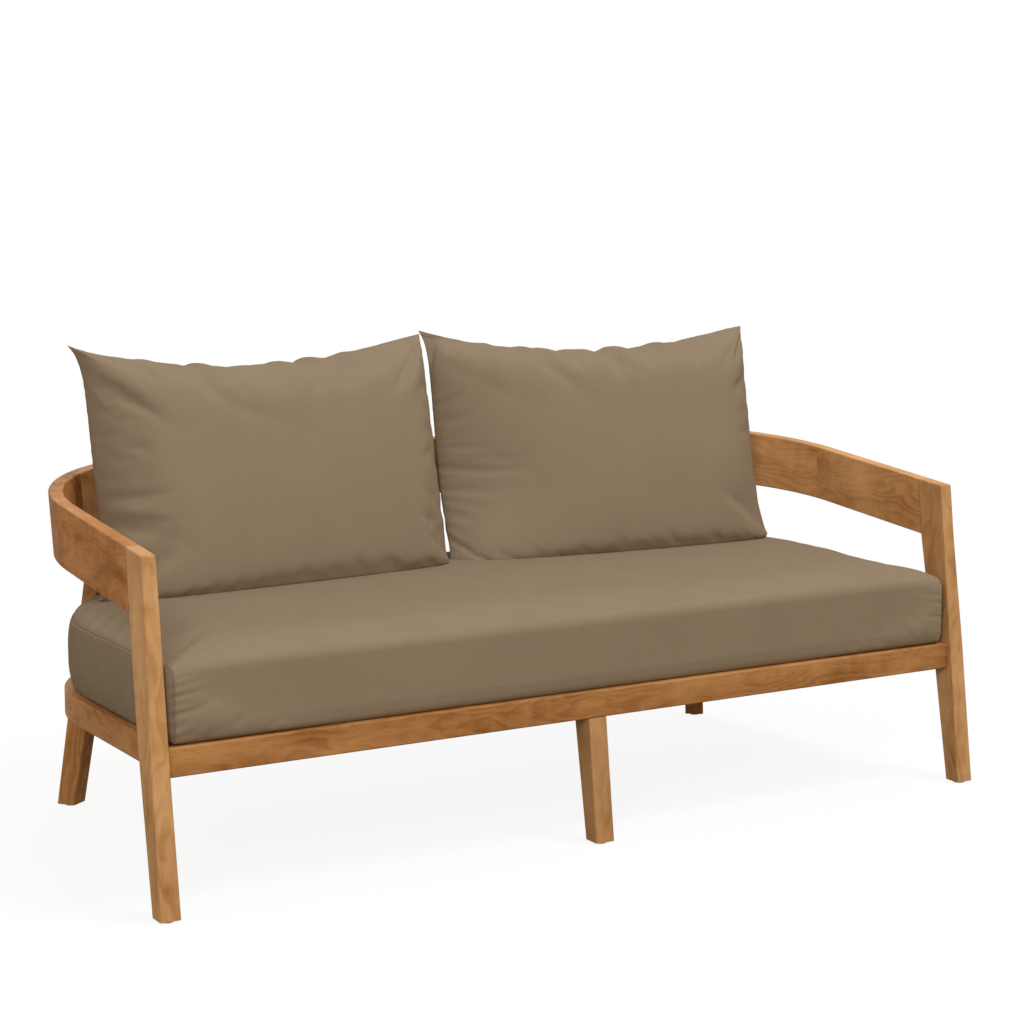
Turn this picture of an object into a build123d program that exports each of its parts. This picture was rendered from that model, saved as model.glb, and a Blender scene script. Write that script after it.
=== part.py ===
from build123d import *
from math import atan2, cos, degrees, radians, sin, sqrt, tan
import os

os.makedirs("parts", exist_ok=True)

# A two-seat patio sofa in solid wood with loose cushions, in millimetres.
# Origin on the floor under the middle of the frame, X to the right, Y to the back, Z up.

# Driving dimensions of the frame
arm_half_width = 865
overall_depth = 808
arm_height = 597.5
seat_frame_height = 281
glide_height = 4

# Sizes of the band that makes the arms and the back
band_height = 111
band_thickness = 27
band_corner_radius = 360
band_slope = 5.7
band_rake = 21
band_joint_from_corner = 20
edge_round = 3
leg_bend_radius = 900
leg_housing_bend_radius = 120

# Sizes of the seat frame
rail_height = 50
rail_thickness = 30
rail_setback = 42
frame_corner_radius = 319
frame_back_setback = 16.5

# Sizes of the front legs
front_leg_top_lean = 74
front_leg_top_depth = 68.5
front_leg_joint_lean = 11
front_leg_foot_depth = 36.5
front_leg_rail_spread = 6
front_leg_foot_spread = 8
front_leg_foot_toe_in = 2
front_leg_toe_in_drop = 12

# Sizes of the rear legs
rear_leg_bearing = 53.8
rear_leg_foot_reach = 38.5
rear_leg_foot_depth = 38.5
rear_leg_foot_width = 40
rear_leg_top_width = 35
rear_leg_side_lean = 10.5
rear_leg_housing = 3

# Sizes of the centre leg
centre_leg_width = 39
centre_leg_foot_lean = 28.5
centre_leg_foot_depth = 37.5
centre_leg_top_depth = 50

# Sizes of the slats and of what carries them
slats_per_side = 7
slat_width = 62
slat_thickness = 15
slat_end_gap = 1
slat_edge_round = 2
ledger_width = 22
ledger_height = 22
ledger_end_gap = 2
corner_ledger_from = 15
brace_width = 40
corner_block_leg = 56

# Sizes of the joinery
joint_fit = 0.15
tenon_thickness = 8
tenon_length = 40
band_tenon_height = 60
frame_tenon_height = 30
leg_tenon_width = 24
stub_length = 16
stub_thickness = 12
stub_height = 34
brace_stub_length = 8
centre_tenon_setback = 11

# Sizes of the bolts at the rear legs
bolt_diameter = 8
bolt_length = 76
bolt_head_diameter = 14
bolt_head_height = 5
bolt_socket_size = 5
bolt_socket_depth = 3
bolt_pitch = 22
bolt_end_gap = 4
washer_diameter = 20
washer_thickness = 1.6
washer_seat_depth = 1
insert_diameter = 12
insert_length = 20
insert_setback = 4

# Sizes of the glides
glide_diameter = 22
glide_pin_diameter = 4
glide_pin_length = 16

# Sizes of the seat cushion
cushion_gap = 0.3
seat_side_gap = 4.5
seat_rear_gap = 13.5
seat_height = 131
seat_radius_over_frame = 7
seat_front_radius = 16
seat_edge_draw = 9
seat_crown = 28
seat_crown_run_share = 0.19

# Sizes of the back cushions
back_side_clearance = 93
back_height = 465
back_front_thickness = 118
back_rear_thickness = 100
back_lean = 11
back_turn = 4.6
back_setback = 206.7
back_gap_between = 6
back_top_dip = 50
back_bottom_dip = 7
back_outer_draw = 24
back_inner_draw = 13
back_corner_run = 230
back_corner_rise = 150
back_side_run = 150
back_edge_rise = 110

# Levels and lines that several pieces share
front_foot_y = -overall_depth / 2
band_back_y = overall_depth / 2
front_leg_top_y = front_foot_y + front_leg_top_lean
slope_share = tan(radians(band_slope))
frame_half_width = arm_half_width - band_thickness
frame_top = seat_frame_height
frame_bottom = frame_top - rail_height
rail_front_y = front_foot_y + rail_setback
rail_rear_y = rail_front_y + rail_thickness
frame_back_y = band_back_y - frame_back_setback
frame_corner_y = frame_back_y - frame_corner_radius
frame_corner_x = frame_half_width - frame_corner_radius
frame_inner_radius = frame_corner_radius - rail_thickness
frame_inner_x = frame_half_width - rail_thickness
frame_inner_back_y = frame_back_y - rail_thickness
band_corner_y = band_back_y - band_corner_radius
band_corner_x = arm_half_width - band_corner_radius
band_inner_radius = band_corner_radius - band_thickness
overrun = band_thickness
seat_front_y = rail_front_y
seat_back_y = frame_back_y - seat_rear_gap
seat_rear_radius = frame_corner_radius + seat_radius_over_frame
seat_crown_run = seat_crown_run_share * (seat_back_y - seat_front_y)
back_width = arm_half_width - back_side_clearance


def band_top_at(y):
    """Height of the top of the band at a place from front to back."""
    return arm_height + slope_share * (y - front_leg_top_y)


def export_pair(piece, name):
    """Write a piece modelled on the right-hand side, and its mirror image on the left."""
    for hand, solid in (("right", piece), ("left", mirror(piece, about=Plane.YZ))):
        solid.label = name.format(hand)
        export_step(solid, f"parts/{solid.label}.step")


# The band leans back: its lower edge stands further forward than its upper edge, by the rake
band_top_plane = Plane(
    origin=(0, 0, band_top_at(0)),
    x_dir=(1, 0, 0),
    z_dir=(0, -sin(radians(band_slope)), cos(radians(band_slope))),
)
band_fall = Vector(0, -band_rake, -band_height - slope_share * band_rake)
band_run_share = 1 / cos(radians(band_slope))

# The glue joint between a front leg and its arm, in side view
arm_joint_top_y = front_leg_top_y + front_leg_top_depth
arm_joint_top_z = band_top_at(arm_joint_top_y)
arm_joint_bottom_y = arm_joint_top_y - front_leg_joint_lean
arm_joint_bottom_z = band_top_at(arm_joint_bottom_y) - band_height
arm_joint_tilt = degrees(atan2(front_leg_joint_lean, arm_joint_top_z - arm_joint_bottom_z))
band_middle_x = arm_half_width - band_thickness / 2
arm_joint_plane = Plane(
    origin=(
        band_middle_x,
        (arm_joint_top_y + arm_joint_bottom_y) / 2,
        (arm_joint_top_z + arm_joint_bottom_z) / 2,
    ),
    x_dir=(1, 0, 0),
    z_dir=(0, cos(radians(arm_joint_tilt)), -sin(radians(arm_joint_tilt))),
)

# The glue joints of the bent corner: square to the arm, on the diagonal, and at the back board
band_middle_radius = band_corner_radius - band_thickness / 2
band_middle_corner_y = band_corner_y - band_rake / 2
arm_end_y = band_corner_y + band_joint_from_corner
arm_end_run = arm_end_y - band_middle_corner_y
arm_end_plane = Plane(
    origin=(
        band_corner_x + sqrt(band_middle_radius**2 - arm_end_run**2),
        arm_end_y,
        band_top_at(arm_end_y) - band_height / 2,
    ),
    x_dir=(1, 0, 0),
    z_dir=(0, 1, 0),
)
diagonal = Vector(cos(radians(45)), sin(radians(45)), 0)
diagonal_y = band_middle_corner_y + band_middle_radius * diagonal.Y
diagonal_along = diagonal.cross(band_fall)
diagonal_plane = Plane(
    origin=(
        band_corner_x + band_middle_radius * diagonal.X,
        diagonal_y,
        band_top_at(diagonal_y) - band_height / 2,
    ),
    x_dir=band_fall.cross(diagonal_along),
    z_dir=diagonal_along,
)
back_joint_y = band_middle_corner_y + band_middle_radius
back_joint_plane = Plane(
    origin=(band_corner_x, back_joint_y, band_top_at(back_joint_y) - band_height / 2),
    x_dir=band_fall.cross(Vector(-1, 0, 0)),
    z_dir=(-1, 0, 0),
)
band_joint_planes = (arm_joint_plane, arm_end_plane, diagonal_plane, back_joint_plane)


# Middles and joints of the seat frame
frame_middle_x = frame_half_width - rail_thickness / 2
frame_middle_z = (frame_top + frame_bottom) / 2
frame_middle_radius = frame_corner_radius - rail_thickness / 2
frame_corner = Vector(frame_corner_x, frame_corner_y, 0)
rail_middle_y = rail_front_y + rail_thickness / 2
slat_bottom = frame_top - slat_thickness
slat_pitch = (frame_inner_x - brace_width / 2) / slats_per_side
half_share = 0.5


def bearing(angle):
    """Level direction at an angle from the side of the sofa towards its back."""
    return Vector(cos(radians(angle)), sin(radians(angle)), 0)


def frame_joint(angle):
    """Glue joint across the curved rail at a bearing about the corner's centre."""
    origin = frame_corner + bearing(angle) * frame_middle_radius + Vector(0, 0, frame_middle_z)
    return Plane(origin, x_dir=bearing(angle), z_dir=bearing(angle + 90))


frame_side_joint = frame_joint(0)
frame_diagonal_joint = frame_joint(45)
frame_rear_joint = frame_joint(90)
frame_rear_joint_left = Plane(
    (-frame_corner_x, frame_back_y - rail_thickness / 2, frame_middle_z), x_dir=(0, 1, 0), z_dir=(1, 0, 0)
)

# The rear leg, in reaches from the corner's centre along its bearing
leg_out = bearing(rear_leg_bearing)
leg_side = bearing(rear_leg_bearing - 90)
rear_leg_side_plane = Plane(frame_corner, x_dir=leg_out, z_dir=leg_side)
rear_leg_front_plane = Plane(frame_corner, x_dir=leg_side, z_dir=-leg_out)
band_under_plane = Plane(
    origin=band_top_plane.origin + band_fall, x_dir=(1, 0, 0), z_dir=band_top_plane.z_dir
)


def band_under_reach(radius):
    """Reach of the band's lower edge of a given radius, along the rear leg's bearing."""
    offset = frame_corner - Vector(band_corner_x, band_corner_y - band_rake, 0)
    along = offset.dot(leg_out)
    return sqrt(radius**2 - offset.length**2 + along**2) - along


rear_leg_top_inner = band_under_reach(band_inner_radius)
rear_leg_top_outer = band_under_reach(band_corner_radius)
rear_leg_seat_reach = frame_corner_radius - rear_leg_housing
rear_foot_reach = frame_corner_radius + rear_leg_foot_reach
rear_leg_top_reach = (rear_leg_top_inner + rear_leg_top_outer) / 2
rear_leg_top = frame_corner + leg_out * rear_leg_top_reach - leg_side * rear_leg_side_lean
rear_leg_top_z = band_top_at(rear_leg_top.Y) - band_height
rear_leg_joint_plane = Plane(
    (rear_leg_top.X, rear_leg_top.Y, rear_leg_top_z), x_dir=leg_out, z_dir=(0, 0, 1)
)

# Bolts through the corner into the rear leg
bolt_planes = [
    Plane(
        frame_corner + leg_side * (side * bolt_pitch / 2) + Vector(0, 0, slat_bottom - ledger_height / 2),
        x_dir=leg_side,
        z_dir=leg_out,
    )
    for side in (1, -1)
]
washer_seat_reach = frame_inner_radius - ledger_width + washer_seat_depth
bolt_seat_reach = washer_seat_reach - washer_thickness
bolt_end_reach = bolt_seat_reach + bolt_length

# Middles of the feet
front_foot = Vector(
    (frame_half_width - front_leg_foot_toe_in + arm_half_width + front_leg_foot_spread) / 2,
    front_foot_y + front_leg_foot_depth / 2,
    0,
)
rear_foot = frame_corner + leg_out * (rear_foot_reach + rear_leg_foot_depth / 2)
centre_foot = Vector(0, rail_front_y - centre_leg_foot_lean + centre_leg_foot_depth / 2, 0)
centre_tenon_plane = Plane((0, rail_front_y + centre_tenon_setback, frame_bottom))

# Middle of the right-hand back cushion, on the plane of its seam
back_width_line = Vector(cos(radians(back_turn)), -sin(radians(back_turn)), 0)
back_lean_out = Vector(-sin(radians(back_turn)), -cos(radians(back_turn)), 0)
back_front_line = back_lean_out * cos(radians(back_lean)) + Vector(0, 0, sin(radians(back_lean)))
back_rise_line = Vector(0, 0, cos(radians(back_lean))) - back_lean_out * sin(radians(back_lean))
back_foot = Vector(
    back_gap_between / 2 + back_width / 2 * cos(radians(back_turn)),
    band_back_y - back_setback,
    frame_top + seat_height + seat_crown + 2 * cushion_gap,
)
back_middle_plane = Plane(
    back_foot + back_rise_line * (back_height / 2), x_dir=back_width_line, z_dir=back_front_line
)


def bolt_holes(reach):
    """Drill the holes of the rear leg's bolts out to a reach, in the piece being built."""
    for plane in bolt_planes:
        with Locations(plane):
            Cylinder(
                bolt_diameter / 2 + joint_fit,
                reach,
                align=(Align.CENTER, Align.CENTER, Align.MIN),
                mode=Mode.SUBTRACT,
            )


def glide():
    """Add a glide with its pin at the current place, standing on the floor."""
    Cylinder(glide_diameter / 2, glide_height, align=(Align.CENTER, Align.CENTER, Align.MIN))
    Cylinder(
        glide_pin_diameter / 2,
        glide_height + glide_pin_length,
        align=(Align.CENTER, Align.CENTER, Align.MIN),
    )


def frame_inside_line(gap):
    """Draw the inside of the seat frame, kept clear of it by a gap."""
    side = frame_inner_x - gap
    rear = frame_inner_back_y - gap
    round_off = frame_inner_radius - gap
    front = rail_rear_y + gap
    Polyline(
        (-side, frame_corner_y), (-side, front), (side, front), (side, frame_corner_y)
    )
    CenterArc((frame_corner_x, frame_corner_y), round_off, 0, 90)
    Line((frame_corner_x, rear), (-frame_corner_x, rear))
    CenterArc((-frame_corner_x, frame_corner_y), round_off, 90, 90)


# Half of the band, from the front leg to the middle of the back, before it is cut at its joints
with BuildPart() as half_band:
    corner_v = band_back_y * band_run_share - band_corner_radius
    front_v = (arm_joint_bottom_y - band_rake - overrun) * band_run_share
    with BuildSketch(band_top_plane):
        with BuildLine():
            Polyline(
                (band_corner_x, corner_v + band_corner_radius),
                (0, corner_v + band_corner_radius),
                (0, corner_v + band_inner_radius),
                (band_corner_x, corner_v + band_inner_radius),
            )
            CenterArc((band_corner_x, corner_v), band_inner_radius, 0, 90)
            Polyline(
                (band_corner_x + band_inner_radius, corner_v),
                (frame_half_width, front_v),
                (arm_half_width, front_v),
                (arm_half_width, corner_v),
            )
            CenterArc((band_corner_x, corner_v), band_corner_radius, 0, 90)
        make_face()
    extrude(amount=band_fall.length, dir=band_fall.normalized())
    long_edges = half_band.edges().filter_by(lambda edge: edge.length > 2 * band_thickness)
    level_edges = long_edges.filter_by(
        lambda edge: abs((edge @ 1 - edge @ 0).dot(band_top_plane.z_dir)) < edge_round
    )
    fillet(level_edges, radius=edge_round)


def mortises(planes, height):
    """Cut the sockets of loose tenons across glue joints, in the piece being built."""
    for joint in planes:
        with Locations(joint):
            Box(
                tenon_thickness + 2 * joint_fit,
                height + 2 * joint_fit,
                tenon_length + 2 * joint_fit,
                mode=Mode.SUBTRACT,
            )


# Arm board: straight, cut off where the curve of the corner has just begun
with BuildPart() as arm:
    add(half_band.part)
    split(bisect_by=arm_joint_plane, keep=Keep.TOP)
    split(bisect_by=arm_end_plane, keep=Keep.BOTTOM)
    mortises((arm_joint_plane, arm_end_plane), band_tenon_height)
export_pair(arm.part, "arm_{}")

# Front piece of a band corner
with BuildPart() as band_corner_front:
    add(half_band.part)
    split(bisect_by=arm_end_plane, keep=Keep.TOP)
    split(bisect_by=diagonal_plane, keep=Keep.BOTTOM)
    mortises((arm_end_plane, diagonal_plane), band_tenon_height)
export_pair(band_corner_front.part, "band_corner_{}_front")

# Rear piece of a band corner, with a socket for the tenon of the rear leg
with BuildPart() as band_corner_rear:
    add(half_band.part)
    split(bisect_by=diagonal_plane, keep=Keep.TOP)
    split(bisect_by=back_joint_plane, keep=Keep.BOTTOM)
    mortises((diagonal_plane, back_joint_plane), band_tenon_height)
    mortises((rear_leg_joint_plane,), leg_tenon_width)
export_pair(band_corner_rear.part, "band_corner_{}_rear")

# Back board: straight, between the two corners
with BuildPart() as back_board:
    add(half_band.part)
    split(bisect_by=back_joint_plane, keep=Keep.TOP)
    mortises((back_joint_plane,), band_tenon_height)
    mirror(about=Plane.YZ)
back_board.part.label = "back_board"
export_step(back_board.part, "parts/back_board.step")

# Loose tenons in the glue joints of the band
with BuildPart() as band_tenons:
    with Locations(*band_joint_planes):
        Box(tenon_thickness, band_tenon_height, tenon_length)
    mirror(about=Plane.YZ)
band_tenons.part.label = "band_tenons"
export_step(band_tenons.part, "parts/band_tenons.step")


def taper_bends(corners, heights):
    """Corners of a leg's profile where its taper changes, at the given heights."""
    return corners.filter_by(lambda corner: min(abs(corner.Y - height) for height in heights) < joint_fit)


# Front leg: a board that tapers in both views, splays forwards and carries on into the arm
with BuildPart() as front_leg:
    foot_outer = arm_half_width + front_leg_foot_spread
    rail_outer = arm_half_width + front_leg_rail_spread
    foot_inner = frame_half_width - front_leg_foot_toe_in
    toe_in_z = frame_bottom - front_leg_toe_in_drop
    with BuildSketch(Plane.YZ):
        with BuildLine():
            Polyline(
                (front_foot_y, glide_height),
                (front_foot_y + front_leg_foot_depth, glide_height),
                (arm_joint_bottom_y, arm_joint_bottom_z),
                (arm_joint_top_y, arm_joint_top_z),
                (front_leg_top_y, arm_height),
                close=True,
            )
        make_face()
    extrude(amount=foot_outer)
    with BuildSketch(Plane.XZ) as front_leg_front:
        with BuildLine():
            Polyline(
                (foot_inner, glide_height),
                (foot_outer, glide_height),
                (rail_outer, frame_top),
                (arm_half_width, arm_joint_bottom_z),
                (arm_half_width, overall_depth),
                (frame_half_width, overall_depth),
                (frame_half_width, toe_in_z),
                close=True,
            )
        make_face()
        bend_heights = (toe_in_z, frame_top, arm_joint_bottom_z)
        fillet(taper_bends(front_leg_front.vertices(), bend_heights), radius=leg_bend_radius)
    extrude(amount=overall_depth, mode=Mode.INTERSECT)
    joint_edges = front_leg.faces().sort_by(Axis.Y)[-1].edges()
    top_edges = front_leg.faces().sort_by(Axis.Z)[-1].edges()
    steep_edges = front_leg.edges().filter_by(lambda edge: abs((edge @ 1 - edge @ 0).Z) > edge_round)
    rounded_edges = ShapeList(dict.fromkeys(steep_edges + top_edges))
    fillet(rounded_edges.filter_by(lambda edge: edge not in joint_edges), radius=edge_round)
    mortises((arm_joint_plane,), band_tenon_height)
    with Locations((frame_half_width, rail_middle_y, frame_middle_z)):
        Box(
            2 * (stub_length + joint_fit),
            stub_thickness + 2 * joint_fit,
            stub_height + 2 * joint_fit,
            mode=Mode.SUBTRACT,
        )
    with Locations((front_foot.X, front_foot.Y, glide_height)):
        Cylinder(
            glide_pin_diameter / 2 + joint_fit,
            glide_pin_length + joint_fit,
            align=(Align.CENTER, Align.CENTER, Align.MIN),
            mode=Mode.SUBTRACT,
        )
export_pair(front_leg.part, "front_leg_{}")


# Rear leg: square, set on the bearing of the corner, housed in the frame and flush with the band above
with BuildPart() as rear_leg_blank:
    with BuildSketch(rear_leg_side_plane) as rear_leg_side:
        with BuildLine():
            Polyline(
                (rear_foot_reach, glide_height),
                (rear_foot_reach + rear_leg_foot_depth, glide_height),
                (rear_leg_top_outer, rear_leg_top_z),
                (rear_leg_top_outer, rear_leg_top_z + overrun),
                (rear_leg_top_inner, rear_leg_top_z + overrun),
                (rear_leg_top_inner, rear_leg_top_z),
                (rear_leg_seat_reach, frame_top),
                (rear_leg_seat_reach, frame_bottom),
                close=True,
            )
        make_face()
        bends = taper_bends(rear_leg_side.vertices(), (frame_bottom, frame_top, rear_leg_top_z))
        fillet(bends, radius=leg_housing_bend_radius)
    extrude(amount=rear_leg_foot_width + rear_leg_side_lean, both=True)
    with BuildSketch(rear_leg_front_plane) as rear_leg_front:
        with BuildLine():
            Polyline(
                (-rear_leg_foot_width / 2, glide_height),
                (rear_leg_foot_width / 2, glide_height),
                (rear_leg_top_width / 2 - rear_leg_side_lean, rear_leg_top_z),
                (rear_leg_top_width / 2 - rear_leg_side_lean, rear_leg_top_z + overrun),
                (-rear_leg_top_width / 2 - rear_leg_side_lean, rear_leg_top_z + overrun),
                (-rear_leg_top_width / 2 - rear_leg_side_lean, rear_leg_top_z),
                close=True,
            )
        make_face()
        bends = taper_bends(rear_leg_front.vertices(), (rear_leg_top_z,))
        fillet(bends, radius=leg_housing_bend_radius)
    extrude(amount=-overall_depth, mode=Mode.INTERSECT)
    steep_edges = rear_leg_blank.edges().filter_by(lambda edge: abs((edge @ 1 - edge @ 0).Z) > edge_round)
    fillet(steep_edges, radius=edge_round)
    split(bisect_by=band_under_plane, keep=Keep.BOTTOM)

with BuildPart() as rear_leg:
    add(rear_leg_blank.part)
    mortises((rear_leg_joint_plane,), leg_tenon_width)
    with Locations((rear_foot.X, rear_foot.Y, glide_height)):
        Cylinder(
            glide_pin_diameter / 2 + joint_fit,
            glide_pin_length + joint_fit,
            align=(Align.CENTER, Align.CENTER, Align.MIN),
            mode=Mode.SUBTRACT,
        )
    with Locations(*bolt_planes):
        with Locations((0, 0, rear_leg_seat_reach)):
            Cylinder(
                insert_diameter / 2,
                insert_setback + insert_length,
                align=(Align.CENTER, Align.CENTER, Align.MIN),
                mode=Mode.SUBTRACT,
            )
            Cylinder(
                bolt_diameter / 2 + joint_fit,
                bolt_end_reach + bolt_end_gap - rear_leg_seat_reach,
                align=(Align.CENTER, Align.CENTER, Align.MIN),
                mode=Mode.SUBTRACT,
            )
export_pair(rear_leg.part, "rear_leg_{}")

# Short leg under the middle of the front rail
with BuildPart() as centre_front_leg:
    with BuildSketch(Plane.YZ):
        with BuildLine():
            Polyline(
                (rail_front_y, frame_bottom),
                (rail_front_y - centre_leg_foot_lean, glide_height),
                (rail_front_y - centre_leg_foot_lean + centre_leg_foot_depth, glide_height),
                (rail_front_y + centre_leg_top_depth, frame_bottom),
                close=True,
            )
        make_face()
    extrude(amount=centre_leg_width / 2, both=True)
    steep_edges = centre_front_leg.edges().filter_by(
        lambda edge: abs((edge @ 1 - edge @ 0).Z) > edge_round
    )
    fillet(steep_edges, radius=edge_round)
    with Locations(centre_tenon_plane):
        Box(
            leg_tenon_width + 2 * joint_fit,
            tenon_thickness + 2 * joint_fit,
            tenon_length + 2 * joint_fit,
            mode=Mode.SUBTRACT,
        )
    with Locations((centre_foot.X, centre_foot.Y, glide_height)):
        Cylinder(
            glide_pin_diameter / 2 + joint_fit,
            glide_pin_length + joint_fit,
            align=(Align.CENTER, Align.CENTER, Align.MIN),
            mode=Mode.SUBTRACT,
        )
centre_front_leg.part.label = "centre_front_leg"
export_step(centre_front_leg.part, "parts/centre_front_leg.step")

# Loose tenons on top of the rear legs and of the centre leg
with BuildPart() as leg_tenons:
    with Locations(rear_leg_joint_plane):
        Box(tenon_thickness, leg_tenon_width, tenon_length)
    mirror(about=Plane.YZ)
    with Locations(centre_tenon_plane):
        Box(leg_tenon_width, tenon_thickness, tenon_length)
leg_tenons.part.label = "leg_tenons"
export_step(leg_tenons.part, "parts/leg_tenons.step")

# A nylon glide under each leg, with a pin driven into the end grain
with BuildPart() as foot_glides:
    for foot in (front_foot, rear_foot):
        with Locations((foot.X, foot.Y, 0), (-foot.X, foot.Y, 0)):
            glide()
    with Locations((centre_foot.X, centre_foot.Y, 0)):
        glide()
foot_glides.part.label = "foot_glides"
export_step(foot_glides.part, "parts/foot_glides.step")


# Front rail, with stub tenons for the legs and sockets for the side rails, the brace and the centre leg
with BuildPart() as front_rail:
    with Locations((0, rail_middle_y, frame_middle_z)):
        Box(2 * frame_half_width, rail_thickness, rail_height)
        fillet(front_rail.edges().filter_by(Axis.X), radius=edge_round)
        Box(2 * (frame_half_width + stub_length), stub_thickness, stub_height)
    with Locations(
        (frame_middle_x, rail_rear_y, frame_middle_z), (-frame_middle_x, rail_rear_y, frame_middle_z)
    ):
        Box(
            stub_thickness + 2 * joint_fit,
            2 * (stub_length + joint_fit),
            stub_height + 2 * joint_fit,
            mode=Mode.SUBTRACT,
        )
    with Locations((0, rail_rear_y, frame_middle_z)):
        Box(
            stub_thickness + 2 * joint_fit,
            2 * (brace_stub_length + joint_fit),
            stub_height + 2 * joint_fit,
            mode=Mode.SUBTRACT,
        )
    with Locations(centre_tenon_plane):
        Box(
            leg_tenon_width + 2 * joint_fit,
            tenon_thickness + 2 * joint_fit,
            tenon_length + 2 * joint_fit,
            mode=Mode.SUBTRACT,
        )
front_rail.part.label = "front_rail"
export_step(front_rail.part, "parts/front_rail.step")

# Side rail, straight from the front rail to the curved corner
with BuildPart() as side_rail:
    side_rail_length = frame_corner_y - rail_rear_y
    with Locations((frame_middle_x, rail_rear_y + side_rail_length / 2, frame_middle_z)):
        Box(rail_thickness, side_rail_length, rail_height)
    fillet(side_rail.edges().filter_by(Axis.Y), radius=edge_round)
    with Locations((frame_middle_x, rail_rear_y - stub_length / 2, frame_middle_z)):
        Box(stub_thickness, stub_length, stub_height)
    mortises((frame_side_joint,), frame_tenon_height)
export_pair(side_rail.part, "side_rail_{}")


def curved_rail(from_bearing, to_bearing):
    """Add a stretch of the curved rail between two bearings about the corner's centre."""
    cut = Plane(frame_corner, x_dir=bearing(from_bearing), z_dir=bearing(from_bearing - 90))
    with BuildSketch(cut) as section:
        with Locations((frame_middle_radius, frame_middle_z)):
            RectangleRounded(rail_thickness, rail_height, edge_round)
    revolve(
        section.sketch, axis=Axis(frame_corner, (0, 0, 1)), revolution_arc=to_bearing - from_bearing
    )


# The curved corner of the seat frame, glued up from a front and a rear piece
with BuildPart() as frame_corner_front:
    curved_rail(0, 45)
    mortises((frame_side_joint, frame_diagonal_joint), frame_tenon_height)
export_pair(frame_corner_front.part, "frame_corner_{}_front")

with BuildPart() as frame_corner_rear:
    curved_rail(45, 90)
    mortises((frame_diagonal_joint, frame_rear_joint), frame_tenon_height)
    add(rear_leg_blank.part, mode=Mode.SUBTRACT)
    bolt_holes(frame_corner_radius)
export_pair(frame_corner_rear.part, "frame_corner_{}_rear")

# Rear rail, closing the frame behind the cushion
with BuildPart() as rear_rail:
    with Locations((0, frame_back_y - rail_thickness / 2, frame_middle_z)):
        Box(2 * frame_corner_x, rail_thickness, rail_height)
    fillet(rear_rail.edges().filter_by(Axis.X), radius=edge_round)
    mortises((frame_rear_joint, frame_rear_joint_left), frame_tenon_height)
    with Locations((0, frame_inner_back_y, frame_middle_z)):
        Box(
            stub_thickness + 2 * joint_fit,
            2 * (brace_stub_length + joint_fit),
            stub_height + 2 * joint_fit,
            mode=Mode.SUBTRACT,
        )
rear_rail.part.label = "rear_rail"
export_step(rear_rail.part, "parts/rear_rail.step")

# Loose tenons in the glue joints of the seat frame
with BuildPart() as frame_tenons:
    with Locations(frame_side_joint, frame_diagonal_joint, frame_rear_joint):
        Box(tenon_thickness, frame_tenon_height, tenon_length)
    mirror(about=Plane.YZ)
frame_tenons.part.label = "frame_tenons"
export_step(frame_tenons.part, "parts/frame_tenons.step")

# Centre brace between the front and rear rails
with BuildPart() as centre_brace:
    brace_length = frame_inner_back_y - rail_rear_y
    with Locations((0, rail_rear_y + brace_length / 2, frame_middle_z)):
        Box(brace_width, brace_length, rail_height)
        Box(stub_thickness, brace_length + 2 * brace_stub_length, stub_height)
centre_brace.part.label = "centre_brace"
export_step(centre_brace.part, "parts/centre_brace.step")

# Strips along the front and rear rails that the slats lie on
front_ledger_length = frame_inner_x - corner_block_leg - brace_width / 2 - 2 * ledger_end_gap
with BuildPart() as front_ledger:
    with Locations((brace_width / 2 + ledger_end_gap, rail_rear_y, slat_bottom - ledger_height)):
        Box(front_ledger_length, ledger_width, ledger_height, align=Align.MIN)
export_pair(front_ledger.part, "front_ledger_{}")

with BuildPart() as rear_ledger:
    rear_ledger_length = frame_corner_x - brace_width / 2 - ledger_end_gap
    with Locations((frame_corner_x, frame_inner_back_y, slat_bottom)):
        Box(rear_ledger_length, ledger_width, ledger_height, align=Align.MAX)
export_pair(rear_ledger.part, "rear_ledger_{}")

# Curved strip inside the corner, with a flat seat for each washer of the rear leg's bolts
with BuildPart() as corner_ledger:
    with BuildSketch(
        Plane(frame_corner, x_dir=bearing(corner_ledger_from), z_dir=bearing(corner_ledger_from - 90))
    ):
        with Locations((frame_inner_radius, slat_bottom)):
            Rectangle(ledger_width, ledger_height, align=Align.MAX)
    revolve(axis=Axis(frame_corner, (0, 0, 1)), revolution_arc=90 - corner_ledger_from)
    bolt_holes(frame_inner_radius)
    with Locations(*bolt_planes):
        with Locations((0, 0, washer_seat_reach)):
            Cylinder(
                washer_diameter / 2 + joint_fit,
                ledger_width,
                align=(Align.CENTER, Align.CENTER, Align.MAX),
                mode=Mode.SUBTRACT,
            )
export_pair(corner_ledger.part, "corner_ledger_{}")

# Glue block in the corner between the front and side rails, which also carries the last slat
with BuildPart() as corner_block:
    with BuildSketch(Plane.XY.offset(frame_bottom + edge_round)):
        with BuildLine():
            Polyline(
                (frame_inner_x, rail_rear_y),
                (frame_inner_x, rail_rear_y + corner_block_leg),
                (frame_inner_x - corner_block_leg, rail_rear_y),
                close=True,
            )
        make_face()
    extrude(amount=slat_bottom - frame_bottom - edge_round)
export_pair(corner_block.part, "corner_block_{}")

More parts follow.
